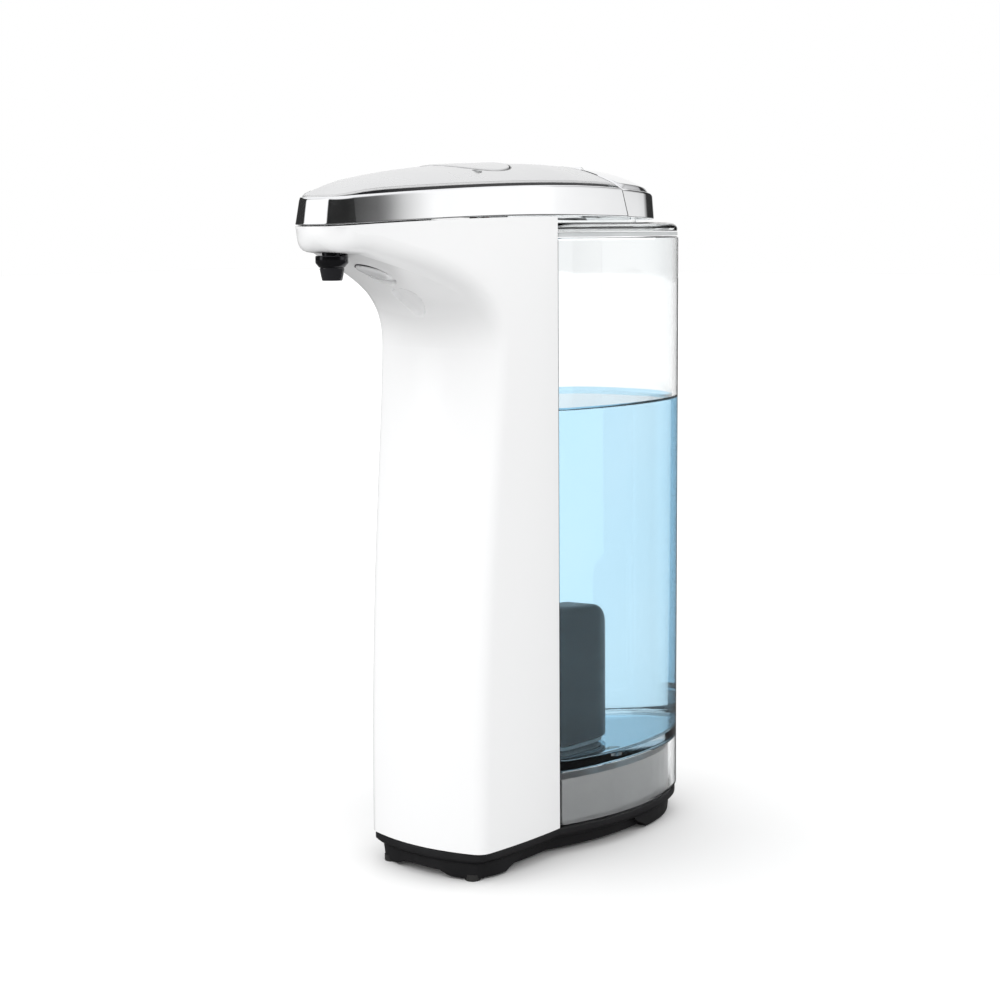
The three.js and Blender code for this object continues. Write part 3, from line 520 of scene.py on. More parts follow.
def front_path():
    """The crease line as (y, z): up the column, round the fillet, out under the arm, up the tip."""
    foot = (COLUMN_FRONT_Y, BODY_BOTTOM)
    path = [foot, (COLUMN_FRONT_Y, BODY_BOTTOM + 0.5)]
    for i in range(2, 41):
        path.append(bezier(foot, (COLUMN_FRONT_Y, 80), (-21, 118), FILLET_FOOT, i / 40))
    for i in range(1, 91):
        path.append(bezier(FILLET_FOOT, (-20, 160.5), (-35, 167.1), FILLET_END, i / 90))
    nose, rise, slope = 4.1, 4.9, -0.054
    end_y, end_z = FILLET_END
    run = TIP_Y + nose - end_y
    floor = end_z + run * slope
    for i in range(1, 7):
        path.append((end_y + run * i / 6, end_z + (floor - end_z) * i / 6))
    for i in range(1, 11):
        angle = math.pi / 2 * i / 10
        path.append((TIP_Y + nose - nose * math.sin(angle), floor + rise * (1 - math.cos(angle))))
    path.append((TIP_Y, lid_joint(TIP_Y) - GAP))
    return path


def boundary(distance):
    """A point (y, z) on the shell's rear edge, then on its top edge towards the tip."""
    if distance < CORNER_AT:
        return JOINT_Y, LEVEL_TO + distance
    y = max(JOINT_Y - (distance - CORNER_AT), TIP_Y)
    return y, lid_joint(y) - GAP


def dent(x, y, z):
    """How deep the finger-shaped scoop behind the sensor goes at a point of the front face."""
    lean = math.radians(57)
    along = ((z - 159.0) * math.cos(lean) - (y + 32.2) * math.sin(lean)) / 6.2
    half_width = 2.6 + 2.1 * min(1.0, max(0.0, 0.5 + 0.6 * along))
    reach = (x / half_width) ** 2 + along ** 2
    return 1.9 * (1 - reach * reach) ** 0.5 if reach < 1 else 0.0


def rear_ends(path):
    """For each point of the crease line, the point (y, z) on the shell's edge that its row ends at."""
    lengths = [0.0]
    for (y0, z0), (y1, z1) in zip(path, path[1:]):
        lengths.append(lengths[-1] + math.hypot(y1 - y0, z1 - z0))
    start = next(i for i, (_, z) in enumerate(path) if z > LEVEL_TO)
    base = lengths[start] - (path[start][1] - LEVEL_TO)
    # Length along the crease line, and the length along the shell's edge that goes with it.
    stops = [(0, 0), (28, 40), (45, CORNER_AT), (82, 126.5),
             (lengths[-1] - base, CORNER_AT + JOINT_Y - TIP_Y)]
    ends = []
    for length, (y, z) in zip(lengths, path):
        along = length - base
        if along <= 0:
            ends.append((JOINT_Y, z))
            continue
        distance = stops[-1][1]
        for (a0, b0), (a1, b1) in zip(stops, stops[1:]):
            if along <= a1:
                distance = b0 + (b1 - b0) * (along - a0) / (a1 - a0)
                break
        if abs(distance - CORNER_AT) < 0.8:
            distance = CORNER_AT
        ends.append(boundary(distance))
    return ends


def arm_half_width(y):
    """Half width of the column and arm, with the arm's rounded tip."""
    return lid_half_width(y) if y < -60 else side_at(y)


def column_row(path, i, edge):
    """One row of the shell's mesh, from its right-hand edge round the front to its left-hand edge."""
    side_count, corner_count, front_count = 14, 6, 38
    y0, z0 = path[i]
    edge_y, edge_z = edge
    y_before, z_before = path[max(0, i - 1)]
    y_after, z_after = path[min(len(path) - 1, i + 1)]
    step = math.hypot(y_after - y_before, z_after - z_before)
    ny, nz = -(z_after - z_before) / step, (y_after - y_before) / step
    reach = min(1.0, max(0.0, (y0 - FILLET_END[0]) / 36))
    fade = min(1.0, max(0.0, (y0 - TIP_Y - 3) / 9))
    height = (0.4 + 4.1 * reach) * fade
    radius = 2.2 + 2.6 * min(1.0, max(0.0, (z0 - FILLET_FOOT[1]) / 27))

    def front(x):
        bulge = height * (1 - (x / 20.8) ** 2)
        y, z = y0 + ny * bulge, z0 + nz * bulge
        hollow = dent(x, y, z)
        return x, y - ny * hollow, z - nz * hollow

    half = []
    span = math.hypot(edge_y - y0, edge_z - z0)
    blend_at = min(0.9, radius / max(span, 0.01))
    for k in range(side_count + 1):
        t = (1 - blend_at) * k / side_count
        y, z = edge_y + (y0 - edge_y) * t, edge_z + (z0 - edge_z) * t
        half.append((arm_half_width(y), y, z))
    width = arm_half_width(y0)
    inner_x = max(0.2, width - radius)
    from_side, corner, from_front = Vector(half[-1]), Vector((width, y0, z0)), Vector(front(inner_x))
    for k in range(1, corner_count + 1):
        t = k / corner_count
        half.append(tuple(from_side * (1 - t) ** 2 + corner * 2 * t * (1 - t) + from_front * t * t))
    for k in range(1, front_count + 1):
        half.append(front(inner_x * (1 - k / front_count)))
    return half + [(-x, y, z) for x, y, z in reversed(half[:-1])]


def build_column(looks):
    """The white shell: column, fillet and arm in one, open at the rear and on top."""
    path = front_path()
    rows = [column_row(path, i, edge) for i, edge in enumerate(rear_ends(path))]
    points, faces = bridge(rows, closed_ring=False)
    shell = make_piece("column_shell", points, faces, "body", "white_abs", looks["white_abs"],
                       ("body_shell",), crease=50)
    thicken(shell, SHELL_WALL, crease=50)
    points, faces = bridge([oval(4.1, 7.4, -7), oval(4.1, 7.4, 7)], cap_first=True, cap_last=True)
    carve(shell, tool((tilted(points, SENSOR_PIVOT, SENSOR_TILT), faces)), crease=50)


# ---- lid, its plate, the flap and the button ----
def ring_profile(low, high, draft):
    """The lid ring's section as (inset, z), a closed loop."""
    tall = high - low
    return [(1.9, low + 0.15), (0.35, low), (0.1, low + 0.1), (0.0, low + 0.3),
            (draft * 0.6 / tall, low + 0.6), (draft * 0.5, (low + high) / 2),
            (draft * (1 - 0.9 / tall), high - 0.9), (draft, high - 0.45), (draft + 0.1, high - 0.15),
            (draft + 0.35, high), (1.85, high + 0.05), (1.95, high - 0.05), (1.95, high - 1.2),
            (4.0, high - 1.0), (4.0, high - 1.9), (1.9, high - 2.8)]


def build_lid_band(looks):
    """The chrome band round the front part of the lid, with the ledge that carries the plate."""
    rings = []
    # The last station has no depth of its own: each of its points lies on the slanted seam.
    for x, y, nx, ny in lid_sides(*PLATE_SIDE_Y, None):
        level = 35.0 if y is None else y
        draft = 1.25 - 0.75 * min(1.0, (level - TIP_Y) / 80)
        ring = []
        for inset, z in ring_profile(lid_joint(level) + GAP, lid_edge(level), draft):
            at = seam_y(z) if y is None else y
            ring.append(inward((x, at, nx, ny), inset) + (z,))
        rings.append(ring)
    left = [[(-x, y, z) for x, y, z in ring] for ring in reversed(rings[1:])]
    points, faces = bridge(left + rings, cap_first=True, cap_last=True)
    make_piece("lid_band", points, faces, "body", "chrome", looks["chrome"], ("top_cover",), crease=50)


def shrunk_to_spine(edge, spine):
    """Rings on the dome from an edge of (x, y) in to a spine along Y, given by its two ends."""
    rings = []
    for t in (0.96, 0.9, 0.8, 0.68, 0.54, 0.38, 0.2, 0.0):
        ring = []
        for x, y in edge:
            foot = min(max(y, spine[0]), spine[1])
            px, py = x * t, foot + (y - foot) * t
            ring.append((px, py, lid_top(px, py)))
        rings.append(ring)
    return rings


def seam_stations(count, shift, forward):
    """Stations along the seam's line over the top, from the right-hand edge to the left."""
    stations = []
    for i in range(1, count):
        x = BODY_HALF * (1 - 2 * i / count)
        y = seam_y(lid_top(x, 35.0), shift)
        stations.append((x, y, 0.0, 1.0 if forward else -1.0))
    return stations


def build_plate(looks):
    """The satin top plate, with a softened edge and holes for the button and the indicator."""
    half = lid_sides(*PLATE_SIDE_Y, 31.6)
    outline = half + seam_stations(24, 1.3, True) + left_side(half[1:])
    rings = []
    for inset_more, drop in ((0.3, 0.5), (0.0, 0.35), (0.0, 0.22), (0.08, 0.06), (0.3, 0.0)):
        edge = [inward(station, BAND_INSET + inset_more) for station in outline]
        rings.append([(x, y, lid_top(x, y) - drop) for x, y in edge])
    rings += shrunk_to_spine(edge, (-60.0, 12.0))
    points, faces = bridge(rings)
    plate = make_piece("lid_plate", points, faces, "body", "satin_silver", looks["satin_silver"],
                       ("top_plate",))
    thicken(plate, PLATE_WALL)
    carve(plate, shaft(BUTTON_WELL_RADIUS, 0, BUTTON_Y, 96))
    carve(plate, shaft(INDICATOR_RADIUS, *INDICATOR, 32))


def build_plate_gap_shade(looks):
    """A black strip of painted shade: it stands for the shaded gap between the chrome band and the plate,
    and shows as a thin dark line there.
    """
    half = lid_sides(*PLATE_SIDE_Y, 31.0)
    rings = []
    for station in left_side(half[1:]) + half:
        high = lid_edge(station[1])
        outer, inner = inward(station, BAND_INSET + 0.05), inward(station, BAND_INSET + 0.6)
        top = lid_top(*outer) - 0.35
        rings.append([outer + (high - 1.0,), outer + (top,), inner + (top + 0.1,), inner + (high - 1.0,)])
    points, faces = bridge(rings, cap_first=True, cap_last=True)
    # painted shade: a black strip where the gap between band and plate lies in shade
    make_piece("plate_gap_shade", points, faces, "body", "black_gloss", looks["black_gloss"])


def build_flap(looks):
    """The refill flap's shell: band and domed top in one, open underneath."""
    # Stations with no depth of their own lie on the slanted seam: the first, the last, and the front.
    half = [(BODY_HALF, None, 1.0, 0.0)] + rear_lid_half()
    side = half + left_side(half[:-1])
    front = [(x, None, nx, ny) for x, y, nx, ny in reversed(seam_stations(16, 0.35, False))]
    profile = [(0.3, "low", 0.0), (0.06, "low", 0.12), (0.0, "low", 0.4), (0.25, "mid", 0.0),
               (0.45, "high", -0.9), (0.6, "high", -0.35), (0.95, "high", -0.05), (1.5, "high", 0.0)]
    rings = []
    for inset, anchor, lift in profile:
        ring = []
        for x, y, nx, ny in side + front:
            on_seam = y is None
            across = on_seam and ny < 0
            level = 36.0 if on_seam else y
            px = x * (BODY_HALF - inset) / BODY_HALF if across else x - inset * nx
            low = lid_joint(level) + GAP
            high = lid_top(px, level) if across else lid_edge(level)
            z = {"low": low, "mid": (low + high) / 2, "high": high}[anchor] + lift
            if anchor == "high" and not across:
                z = min(z, lid_top(px, min(level, FLAP_REAR_Y - 0.3)) + lift)
            if on_seam:
                py = seam_y(z, 0.35) + (inset if anchor == "high" and lift > -0.2 else 0.0)
            else:
                py = y - inset * ny
            ring.append((px, py, z))
        rings.append(ring)
    rings += shrunk_to_spine([(x, y) for x, y, _ in rings[-1]], (44.0, 47.0))
    points, faces = bridge(rings)
    flap = make_piece("flap_shell", points, faces, "refill_flap", "chrome", looks["chrome"],
                      ("refill_lid",))
    thicken(flap, FLAP_WALL)
    carve(flap, tool(block(-14.3, 14.3, 20, HINGE_Y, 186, 210)), tangled=True)


def barrel(x0, x1, radius, y, z, sides=40):
    """A hinge barrel along X with softly rounded ends."""
    soft = 0.25
    rings = []
    for x, r in ((x0, radius - soft), (x0 + soft * 0.3, radius - soft * 0.3), (x0 + soft, radius),
                 (x1 - soft, radius), (x1 - soft * 0.3, radius - soft * 0.3), (x1, radius - soft)):
        rings.append([(x, y + r * math.cos(a), z + r * math.sin(a))
                      for a in (2 * math.pi * k / sides for k in range(sides))])
    return bridge(rings, cap_first=True, cap_last=True)


def build_hinge(looks):
    """The flap's knuckle and leaf, its filler over the neck, and the lid's two lugs."""
    points, faces = barrel(-4.4, 4.4, 1.5, HINGE_Y, HINGE_Z)
    knuckle = make_piece("flap_knuckle", points, faces, "refill_flap", "chrome", looks["chrome"])
    leaf = tool(block(-4.4, 4.4, HINGE_Y, 38.5, HINGE_Z - 1.4, HINGE_Z + 0.5))
    carve(knuckle, leaf, "UNION")
    for number, side in ((1, -1), (2, 1)):
        x0, x1 = sorted((side * 5.0, side * 8.5))
        points, faces = barrel(x0, x1, 1.5, HINGE_Y, HINGE_Z)
        lug = make_piece(f"hinge_lug_{number}", points, faces, "body", "chrome", looks["chrome"])
        carve(lug, tool(block(x0, x1, 31.5, HINGE_Y, HINGE_Z - 1.4, HINGE_Z - 0.4)), "UNION")
    rings = []
    for inset, z in ((0.0, 184.9), (0.0, 192.0), (0.5, 192.6)):
        rings.append(stadium(11.0 - inset, 5.0 - inset, z))
    points, faces = bridge(rings, cap_first=True, cap_last=True)
    make_piece("flap_presser", points, faces, "refill_flap", "chrome", looks["chrome"])


def stadium(half_width, half_depth, z, steps=16):
    """A ring round a slot-shaped outline centred over the tank's neck."""
    ring = []
    for side in (1, -1):
        for k in range(steps + 1):
            angle = -math.pi / 2 + math.pi * k / steps
            ring.append((side * ((half_width - half_depth) + half_depth * math.cos(angle)),
                         NECK_Y + side * half_depth * math.sin(angle), z))
    return ring


def round_button(steps, sides=96):
    """Rings about the button's axis that follow the dome, from steps of (radius, drop below it)."""
    rings = []
    for radius, drop in steps:
        ring = []
        for k in range(sides):
            angle = 2 * math.pi * k / sides
            x, y = radius * math.cos(angle), BUTTON_Y + radius * math.sin(angle)
            ring.append((x, y, lid_top(x, y) - drop))
        rings.append(ring)
    return rings


def build_button_well_shade(looks):
    """A black ring lining the plate's hole: painted shade of the groove round the button, which shows as a
    dark line there.
    """
    inner, outer = BUTTON_RADIUS + 0.28, BUTTON_WELL_RADIUS + 0.02
    rings = round_button([(inner, 1.3), (inner, 0.1), (inner + 0.06, 0.02), (outer, 0.02),
                          (outer, 1.3)])
    points, faces = bridge(rings + rings[:1])
    # painted shade: the black ring darkens the groove between the button and the plate
    make_piece("button_well_shade", points, faces, "body", "black_gloss", looks["black_gloss"])


def build_joint_gap_shade(looks):
    """Thin black strips in the gap between the column and the tank on each side: painted shade of that gap,
    which shows as a thin dark line.
    """
    for name, side in (("joint_gap_shade_left", -1), ("joint_gap_shade_right", 1)):
        near, far = sorted((side * (BODY_HALF - 1.4), side * (BODY_HALF - 0.05)))
        points, faces = block(near, far, JOINT_Y + 0.03, TANK_FRONT_Y - 0.02, 9.6, 175.0)
        # painted shade: black strips filling the shaded gap between column and tank
        make_piece(name, points, faces, "body", "black_gloss", looks["black_gloss"])


def build_button(looks):
    """A domed disc that follows the plate, with a rounded rim and a stem down to the switch."""
    edge = BUTTON_RADIUS
    stem_radius, stem_foot = 2.2, 187.8
    rings = round_button([(stem_radius, 6.0), (stem_radius, 1.25), (5.5, 1.25), (9.5, 1.4),
                          (edge - 0.15, 1.6), (edge, 1.4), (edge, 0.1), (edge - 0.12, -0.12),
                          (edge - 0.4, -0.24), (edge - 0.9, -0.26), (9.5, -0.2), (6.5, -0.16),
                          (3.5, -0.14), (1.2, -0.13)])
    rings[0] = [(x, y, stem_foot) for x, y, _ in rings[0]]
    points, faces = bridge(rings, cap_first=True, cap_last=True)
    make_piece("button_cap", points, faces, "button", "satin_silver", looks["satin_silver"],
               ("power_button",))


# ---- tank, its cover and the soap ----
def tank_ring(inset, z, front=None):
    """The tank's outline at a height, pulled in all round, or with its front at a depth of its own."""
    at = TANK_FRONT_Y + inset if front is None else front
    return [(x, y, z) for x, y in tank_outline(inset, at)]


def build_tank(looks):
    """The clear tank: one wall from its foot to its rim, with the floor that the soap stands on."""
    floor_thickness = 2.2
    under = FLOOR_TOP - floor_thickness
    wall = TANK_WALL
    hollow_foot = [(wall + 2.0, under), (wall + 0.6, under - 0.1), (wall, under - 0.7),
                   (wall, TANK_BOTTOM + 0.2), (wall - 0.2, TANK_BOTTOM)]
    outside = [(0.3, TANK_BOTTOM), (0.0, TANK_BOTTOM + 0.3), (0.0, TANK_BOTTOM + 0.8), (0.0, 60.0),
               (0.0, 120.0), (0.0, TANK_TOP - 0.8), (0.0, TANK_TOP - 0.3), (0.3, TANK_TOP)]
    inside = [(wall - 0.3, TANK_TOP), (wall, TANK_TOP - 0.3), (wall, TANK_TOP - 0.8), (wall, 120.0),
              (wall, 60.0), (wall, FLOOR_TOP + 1.6), (wall + 0.5, FLOOR_TOP + 0.5),
              (wall + 1.6, FLOOR_TOP)]
    rings = [tank_ring(inset, z) for inset, z in hollow_foot + outside + inside]
    points, faces = bridge(rings, cap_first=True, cap_last=True)
    tank = make_piece("tank_wall", points, faces, "body", "clear_plastic", looks["clear_plastic"],
                      ("tank",), crease=45)
    for x, y in TANK_SCREWS:
        boss = turned([(2.4, 21.6), (2.7, 21.9), (2.7, under + 0.4)], x, y, 40)
        carve(tank, tool(boss), "UNION", crease=45)
    carve(tank, tool(block(*PASSAGE)), crease=45)


def build_tank_cover(looks):
    """The clear cover: a rounded shoulder, a flat top and the filling neck."""
    front = TANK_FRONT_Y + 0.3
    steps = [(2.4, COVER_BOTTOM), (0.5, COVER_BOTTOM), (0.3, COVER_BOTTOM + 0.2), (0.3, COVER_BOTTOM + 0.9),
             (0.55, COVER_BOTTOM + 1.5), (1.2, COVER_BOTTOM + 2.05), (2.1, COVER_BOTTOM + 2.4),
             (3.2, COVER_TOP - 0.05), (4.4, COVER_TOP), (12.0, COVER_TOP)]
    rings = [tank_ring(inset, z, front + max(0.0, inset - 0.3) * 0.4) for inset, z in steps]
    points, faces = bridge(rings, cap_last=True)
    cover = make_piece("tank_lid", points, faces, "body", "clear_plastic", looks["clear_plastic"],
                       ("tank_cover",), crease=45)
    thicken(cover, TANK_WALL, crease=45)
    neck = [stadium(15.0, 7.6, 178.4), stadium(15.0, 7.6, 182.8), stadium(14.8, 7.4, 183.0)]
    mouth = [stadium(13.4, 6.0, 160), stadium(13.4, 6.0, 190)]
    for rings, operation in ((neck, "UNION"), (mouth, "DIFFERENCE")):
        carve(cover, tool(bridge(rings, cap_first=True, cap_last=True)), operation, crease=45)


def build_soap(looks):
    """The liquid, in contact with the wall, with a raised edge where it wets the wall."""
    inset = TANK_WALL - 0.04
    steps = [(4.0, FLOOR_TOP - 0.04), (inset, FLOOR_TOP + 0.3), (inset, FLOOR_TOP + 1.0), (inset, 80.0),
             (inset, SOAP_LEVEL + 0.6), (inset, SOAP_LEVEL + 1.1), (inset + 0.25, SOAP_LEVEL + 0.55),
             (inset + 0.8, SOAP_LEVEL + 0.18), (inset + 1.8, SOAP_LEVEL), (9.0, SOAP_LEVEL)]
    rings = [tank_ring(i, z) for i, z in steps]
    points, faces = bridge(rings, cap_first=True, cap_last=True)
    make_piece("soap_fill", points, faces, "body", "soap", looks["soap"], ("liquid_soap",), crease=60)


# ---- black base ----
def base_outline(inset):
    """The base's plan as a closed loop: the column's bulged front, its sides, then the tank."""
    front = COLUMN_FRONT_Y + inset
    crease = side_at(COLUMN_FRONT_Y, inset)
    bulge, corner = 4.5, 2.2
    half = []
    for k in range(13):
        x = (crease - corner) * k / 12
        half.append((x, front - bulge * (1 - (x / (crease + inset)) ** 2)))
    edge_x, edge_y = half[-1]
    for t in (0.33, 0.66, 1.0):
        a, b, c = (1 - t) ** 2, 2 * t * (1 - t), t * t
        half.append((a * edge_x + (b + c) * crease, a * edge_y + b * (front - 0.3) + c * (front + 2.0)))
    for k in range(1, 9):
        y = front + 2.0 + (JOINT_Y - front - 2.0) * k / 8
        half.append((side_at(y, inset), y))
    half_width = TANK_HALF - inset
    rear = TANK_REAR_Y - inset - TANK_WIDEST_Y
    for y in (9.0, 13.0, 17.0, 21.0, 25.0, 29.0, 33.0):
        half.append((half_width - (TANK_WIDEST_Y - y) ** 2 / TANK_BOW, y))
    for k in range(32):
        angle = math.pi / 2 * k / 32
        half.append((half_width * math.cos(angle) ** TANK_SQUARENESS,
                     TANK_WIDEST_Y + rear * math.sin(angle) ** TANK_SQUARENESS))
    half.append((0.0, TANK_WIDEST_Y + rear))
    return both_sides(half)


def base_stack(steps):
    """A closed body from the base's outline at steps of (inset, z)."""
    rings = [[(x, y, z) for x, y in base_outline(inset)] for inset, z in steps]
    return bridge(rings, cap_first=True, cap_last=True)


def arch(along_x, start, end, top, foot, reach):
    """An archway tool with S-shaped ends, which runs along one axis through the skirt."""
    curve = [(foot * (0.5 - 0.5 * math.cos(math.pi * k / 10)), top * k / 10) for k in range(11)]
    rise = [(end - lean, z) for lean, z in curve]
    fall = [(start + lean, z) for lean, z in reversed(curve)]
    profile = [(start, -1.0), (end, -1.0)] + rise + fall
    rings = []
    for offset in reach:
        rings.append([(offset, a, z) if along_x else (a, offset, z) for a, z in profile])
    return bridge(rings, cap_first=True, cap_last=True)


def build_base(looks):
    """The footed tray: a rounded flange, a skirt cut into four feet, and the hull behind it."""
    flange = base_stack([(1.6, 5.2), (0.75, 5.9), (0.42, 6.25), (0.36, 6.6), (0.36, 7.9), (0.5, 8.15),
                         (1.0, 8.2)])
    tray = make_piece("base_tray", *flange, "body", "black_abs", looks["black_abs"], ("base_chassis",))
    skirt = tool(base_stack([(2.9, 0.5), (2.6, 0.62), (2.45, 1.0), (2.0, 5.6)]))
    side_arches = arch(True, -17.5, 41.0, 5.0, 7.0, (-45, 45))
    front_arch = arch(False, -11.0, 10.0, 2.4, 4.0, (-90, 5))
    rear_arch = arch(False, -13.0, 13.0, 5.0, 5.0, (55, 90))
    for points_faces in (side_arches, front_arch, rear_arch):
        carve(skirt, tool(points_faces))
    hull = tool(base_stack([(4.8, 1.2), (4.6, 1.4), (4.6, 6.5)]))
    for part in (skirt, hull):
        carve(tray, part, "UNION")
    cell_bay = block(-17.2, 17.2, -23.5, -3.6, -1, 20)
    door_recess = block(-17.2, 17.2, -23.5, -0.2, -1, 4.3)
    cuts = [cell_bay, door_recess]
    for x, y in BASE_SCREWS:
        cuts.append(turned([(2.8, -1.0), (2.8, 6.6), (1.5, 6.6), (1.5, 20.0)], x, y, 32))
    for points_faces in cuts:
        carve(tray, tool(points_faces))


# ---- pump housing and its collar ----
def rounded_plan(half_width, front, rear, radius, z):
    """A ring with a straight front edge and rounded rear corners."""
    half = [(0.0, front), (half_width - 0.6, front), (half_width, front + 0.6)]
    corner = arc(half_width - radius, rear - radius, radius, 0.0, math.pi / 2, 14)
    half += [(x, y) for x, y, _, _ in corner]
    half.append((0.0, rear))
    return [(x, y, z) for x, y in both_sides(half)]


def housing_roof(y):
    """Height of the housing's sloping roof, with a rounded shoulder at the rear."""
    t = min(1.0, max(0.0, (y - PUMP_FRONT_Y) / (PUMP_REAR_Y - PUMP_FRONT_Y)))
    return 70.2 - 2.5 * t ** 1.5 - 7.0 * max(0.0, (t - 0.72) / 0.28) ** 2


def build_pump_housing(looks):
    """The black housing in the tank, and the grey collar between it and the tank's front."""
    rings = []
    for z in (PUMP_BOTTOM, PUMP_BOTTOM + 0.6):
        rings.append(rounded_plan(PUMP_HALF, PUMP_FRONT_Y, PUMP_REAR_Y, PUMP_CORNER, z))
    shoulder = [(0.0, 3.0), (0.0, 2.2), (0.25, 1.2), (0.8, 0.5), (1.7, 0.1), (3.0, 0.0), (5.5, 0.0)]
    for inset, drop in shoulder:
        ring = rounded_plan(PUMP_HALF - inset, PUMP_FRONT_Y + inset * 0.3, PUMP_REAR_Y - inset,
                            PUMP_CORNER - inset, 0.0)
        rings.append([(x, y, housing_roof(y) - drop) for x, y, _ in ring])
    points, faces = bridge(rings, cap_first=True, cap_last=True)
    make_piece("pump_cowl", points, faces, "body", "black_abs", looks["black_abs"], ("pump_housing",))
    rings = []
    for inset, y in ((0.5, 6.1), (0.0, 6.5), (0.0, 9.8), (0.5, 10.2)):
        w, low, high = 15.8 - inset, 29.0 + inset, 72.5 - inset
        right = [(w, low), (w, 58.0), (w - 2.2, 66.0), (w - 5.0, high)]
        rings.append([(x, y, z) for x, z in both_sides(right)])
    points, faces = bridge(rings, cap_first=True, cap_last=True)
    collar = make_piece("pump_bracket", points, faces, "body", "grey_plastic", looks["grey_plastic"],
                        ("pump_collar",))
    carve(collar, tool(block(*PASSAGE)))


# ---- nozzle and hand sensor ----
def build_spout(looks):
    """The nozzle's dark collar and its rubber-lipped tip."""
    collar = lathe([(1.1, 168.6), (3.1, 168.6), (3.35, 168.75), (3.7, 169.2), (4.05, 169.6), (4.2, 170.0),
                    (4.2, 171.3), (4.05, 171.6), (2.5, 171.7), (2.5, 175.6), (1.1, 175.6)], 0.0, NOZZLE_Y)
    make_piece("spout_collar", *collar, "body", "dark_chrome", looks["dark_chrome"], ("nozzle_collar",))
    tip = lathe([(1.0, 165.5), (1.3, 165.3), (2.45, 165.3), (2.6, 165.45), (2.85, 166.6), (3.15, 168.25),
                 (3.0, 168.6), (1.0, 168.6)], 0.0, NOZZLE_Y)
    make_piece("spout_tip", *tip, "body", "black_gloss", looks["black_gloss"], ("nozzle_tip",))


def oval(half_width, half_length, z, steps=72):
    """An oval ring about the sensor's middle, at a height z from it."""
    return [(half_width * math.cos(a), SENSOR_Y + half_length * math.sin(a), SENSOR_Z + z)
            for a in (2 * math.pi * k / steps for k in range(steps))]


def build_sensor(looks):
    """The frosted oval window, ringed by a thin black band of painted shade that stands for the shaded gap
    round the window.
    """
    rings = [oval(3.75, 7.05, 1.2), oval(3.75, 7.05, -0.9), oval(3.6, 6.9, -1.15), oval(3.0, 6.2, -1.35),
             oval(1.6, 4.4, -1.5)]
    points, faces = bridge(rings, cap_first=True, cap_last=True)
    make_piece("sensor_lens", tilted(points, SENSOR_PIVOT, SENSOR_TILT), faces, "body", "clear_plastic",
               looks["frosted"], ("sensor_window",))
    # painted shade: a thin black ring for the shaded gap round the window
    rings = [oval(4.06, 7.36, 1.0), oval(4.06, 7.36, -0.8), oval(3.8, 7.1, -0.8), oval(3.8, 7.1, 1.0),
             oval(4.06, 7.36, 1.0)]
    points, faces = bridge(rings)
    make_piece("sensor_gap_shade", tilted(points, SENSOR_PIVOT, SENSOR_TILT), faces, "body", "black_gloss",
               looks["black_gloss"])


# ---- camera, light and floor ----
def make_camera():
    """Looks past the arm's right-hand side from a little above."""
    heading, pitch, roll = (math.radians(v) for v in (37.34, 7.99, -0.46))
    ahead = Vector((-math.sin(heading) * math.cos(pitch), math.cos(heading) * math.cos(pitch),
                    -math.sin(pitch)))
    right = Vector((math.cos(heading), math.sin(heading), 0.0))
    up = right.cross(ahead)
    side = right * math.cos(roll) + up * math.sin(roll)
    top = -right * math.sin(roll) + up * math.cos(roll)
    data = bpy.data.cameras.new("camera")
    data.lens = 69.58
    data.sensor_width = 36.0
    camera = bpy.data.objects.new("camera", data)
    camera.matrix_world = Matrix((side, top, -ahead)).transposed().to_4x4()
    camera.location = (0.3333, -0.43236, 0.17804)
    bpy.context.collection.objects.link(camera)
    bpy.context.scene.camera = camera


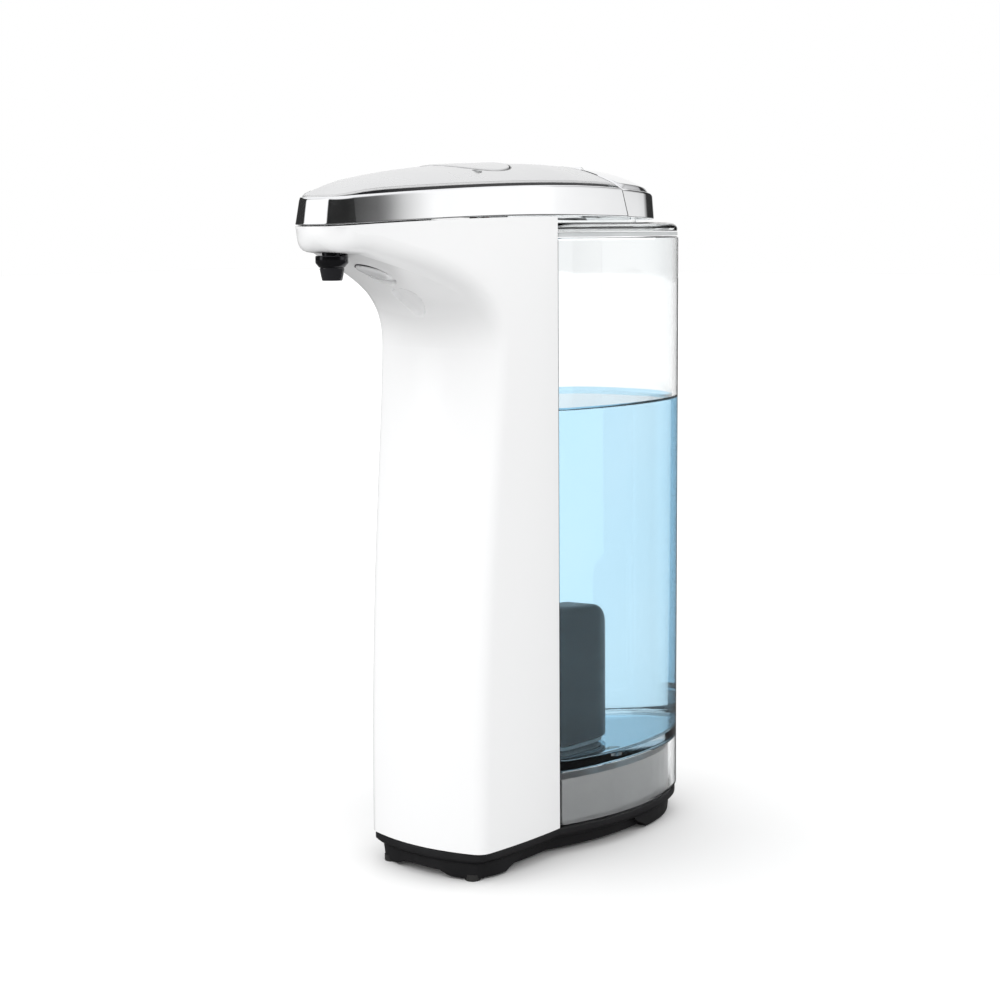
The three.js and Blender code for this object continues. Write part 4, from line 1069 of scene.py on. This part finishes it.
def make_world():
    """A bright studio: plain white behind, and light and dark panels round about for reflections."""
    world = bpy.data.worlds.new("studio")
    bpy.context.scene.world = world
    world.use_nodes = True
    nodes, links = world.node_tree.nodes, world.node_tree.links
    nodes.clear()
    where = nodes.new("ShaderNodeTexCoord").outputs["Generated"]
    parts = nodes.new("ShaderNodeSeparateXYZ")
    links.new(where, parts.inputs[0])
    east, south, up = (parts.outputs[axis] for axis in "XYZ")
    turn = maths(nodes, links, "ARCTAN2", east, maths(nodes, links, "MULTIPLY", south, -1.0))
    around = maths(nodes, links, "MULTIPLY_ADD", turn, 0.5 / math.pi, 0.5)
    panels = nodes.new("ShaderNodeValToRGB")
    links.new(around, panels.inputs["Fac"])
    # Panel brightness by heading in degrees, from straight ahead of the spout towards +X.
    stops = [(-180, 0.03), (-166, 0.03), (-156, 0.85), (-130, 0.85), (-118, 0.03), (-52, 0.03),
             (-48, 1.0), (-30, 1.0), (-26, 0.02), (60, 0.02), (97, 0.03), (102, 0.2), (106, 0.6),
             (112, 1.0), (143, 1.0), (147, 0.8), (153, 0.4), (160, 0.03), (180, 0.03)]
    elements = panels.color_ramp.elements
    for heading, _ in stops[1:-1]:
        elements.new((heading + 180) / 360)
    for element, (_, value) in zip(elements, stops):
        element.color = (value, value, value, 1.0)
    # Above the panels, reflections find a plain bright ceiling.
    height = maths(nodes, links, "MULTIPLY", maths(nodes, links, "SUBTRACT", up, 0.44), 10.0, clamp=True)
    shiny = blend(nodes, links, height, panels.outputs["Color"], (0.92, 0.92, 0.93, 1.0))
    brighter = nodes.new("ShaderNodeVectorMath")
    brighter.operation = "SCALE"
    brighter.inputs["Scale"].default_value = 1.14
    links.new(shiny, brighter.inputs[0])
    # Matte surfaces get even light, stronger from the front left and from above.
    aim = nodes.new("ShaderNodeVectorMath")
    aim.operation = "DOT_PRODUCT"
    links.new(where, aim.inputs[0])
    aim.inputs[1].default_value = (-0.38, -0.89, 0.26)
    facing = maths(nodes, links, "MAXIMUM", aim.outputs["Value"], 0.0)
    above = maths(nodes, links, "MAXIMUM", up, 0.0)
    glow = maths(nodes, links, "MULTIPLY_ADD", facing, 0.60, 1.08)
    glow = maths(nodes, links, "MULTIPLY_ADD", above, 0.68, glow)
    matte = nodes.new("ShaderNodeCombineColor")
    for channel in ("Red", "Green", "Blue"):
        links.new(glow, matte.inputs[channel])
    path = nodes.new("ShaderNodeLightPath").outputs
    seen = maths(nodes, links, "MAXIMUM", path["Is Camera Ray"], path["Is Transmission Ray"])
    light = blend(nodes, links, path["Is Glossy Ray"], matte.outputs["Color"], brighter.outputs["Vector"])
    final = blend(nodes, links, seen, light, (1.0, 1.0, 1.0, 1.0))
    background = nodes.new("ShaderNodeBackground")
    links.new(final, background.inputs["Color"])
    output = nodes.new("ShaderNodeOutputWorld")
    links.new(background.outputs[0], output.inputs["Surface"])


def make_floor():
    """A large pale floor."""
    look, nodes, links, shader = new_material("floor")
    grain = nodes.new("ShaderNodeTexNoise")
    grain.inputs["Scale"].default_value = 6.0
    tint = nodes.new("ShaderNodeMapRange")
    for socket, value in (("To Min", 0.70), ("To Max", 0.71)):
        tint.inputs[socket].default_value = value
    links.new(grain.outputs["Fac"], tint.inputs["Value"])
    # The floor throws little light back up, so that the arm's underside stays in soft shade, and it
    # is dark in reflections, so that the pump shows black through the tank's side.
    path = nodes.new("ShaderNodeLightPath").outputs
    mirrored = maths(nodes, links, "SUBTRACT", path["Is Glossy Ray"], path["Is Transmission Ray"],
                     clamp=True)
    dim = maths(nodes, links, "MULTIPLY_ADD", mirrored, -0.62, tint.outputs["Result"])
    dim = maths(nodes, links, "MULTIPLY_ADD", path["Is Diffuse Ray"], -0.22, dim)
    links.new(dim, shader.inputs["Base Color"])
    shader.inputs["Roughness"].default_value = 0.9
    shader.inputs["Specular IOR Level"].default_value = 0.1
    reach = 6.0
    corners = [(-reach, -reach, 0), (reach, -reach, 0), (reach, reach, 0), (-reach, reach, 0)]
    mesh = bpy.data.meshes.new("floor")
    mesh.from_pydata(corners, [], [(0, 1, 2, 3)])
    mesh.materials.append(look)
    floor = bpy.data.objects.new("floor", mesh)
    bpy.context.collection.objects.link(floor)
    floor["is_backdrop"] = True


make_camera()
make_world()
make_floor()
looks = make_materials()
dress_frame(looks)
build_column(looks)
build_lid_band(looks)
build_plate(looks)
build_plate_gap_shade(looks)
build_flap(looks)
build_hinge(looks)
build_button_well_shade(looks)
build_button(looks)
build_joint_gap_shade(looks)
build_tank(looks)
build_tank_cover(looks)
build_soap(looks)
build_base(looks)
build_pump_housing(looks)
build_spout(looks)
build_sensor(looks)

cad_names = {node.name for node in frame["nodes"].values()}
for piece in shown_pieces():
    if piece.name not in cad_names:
        even_shading(piece)

bpy.context.scene.view_settings.view_transform = "Standard"
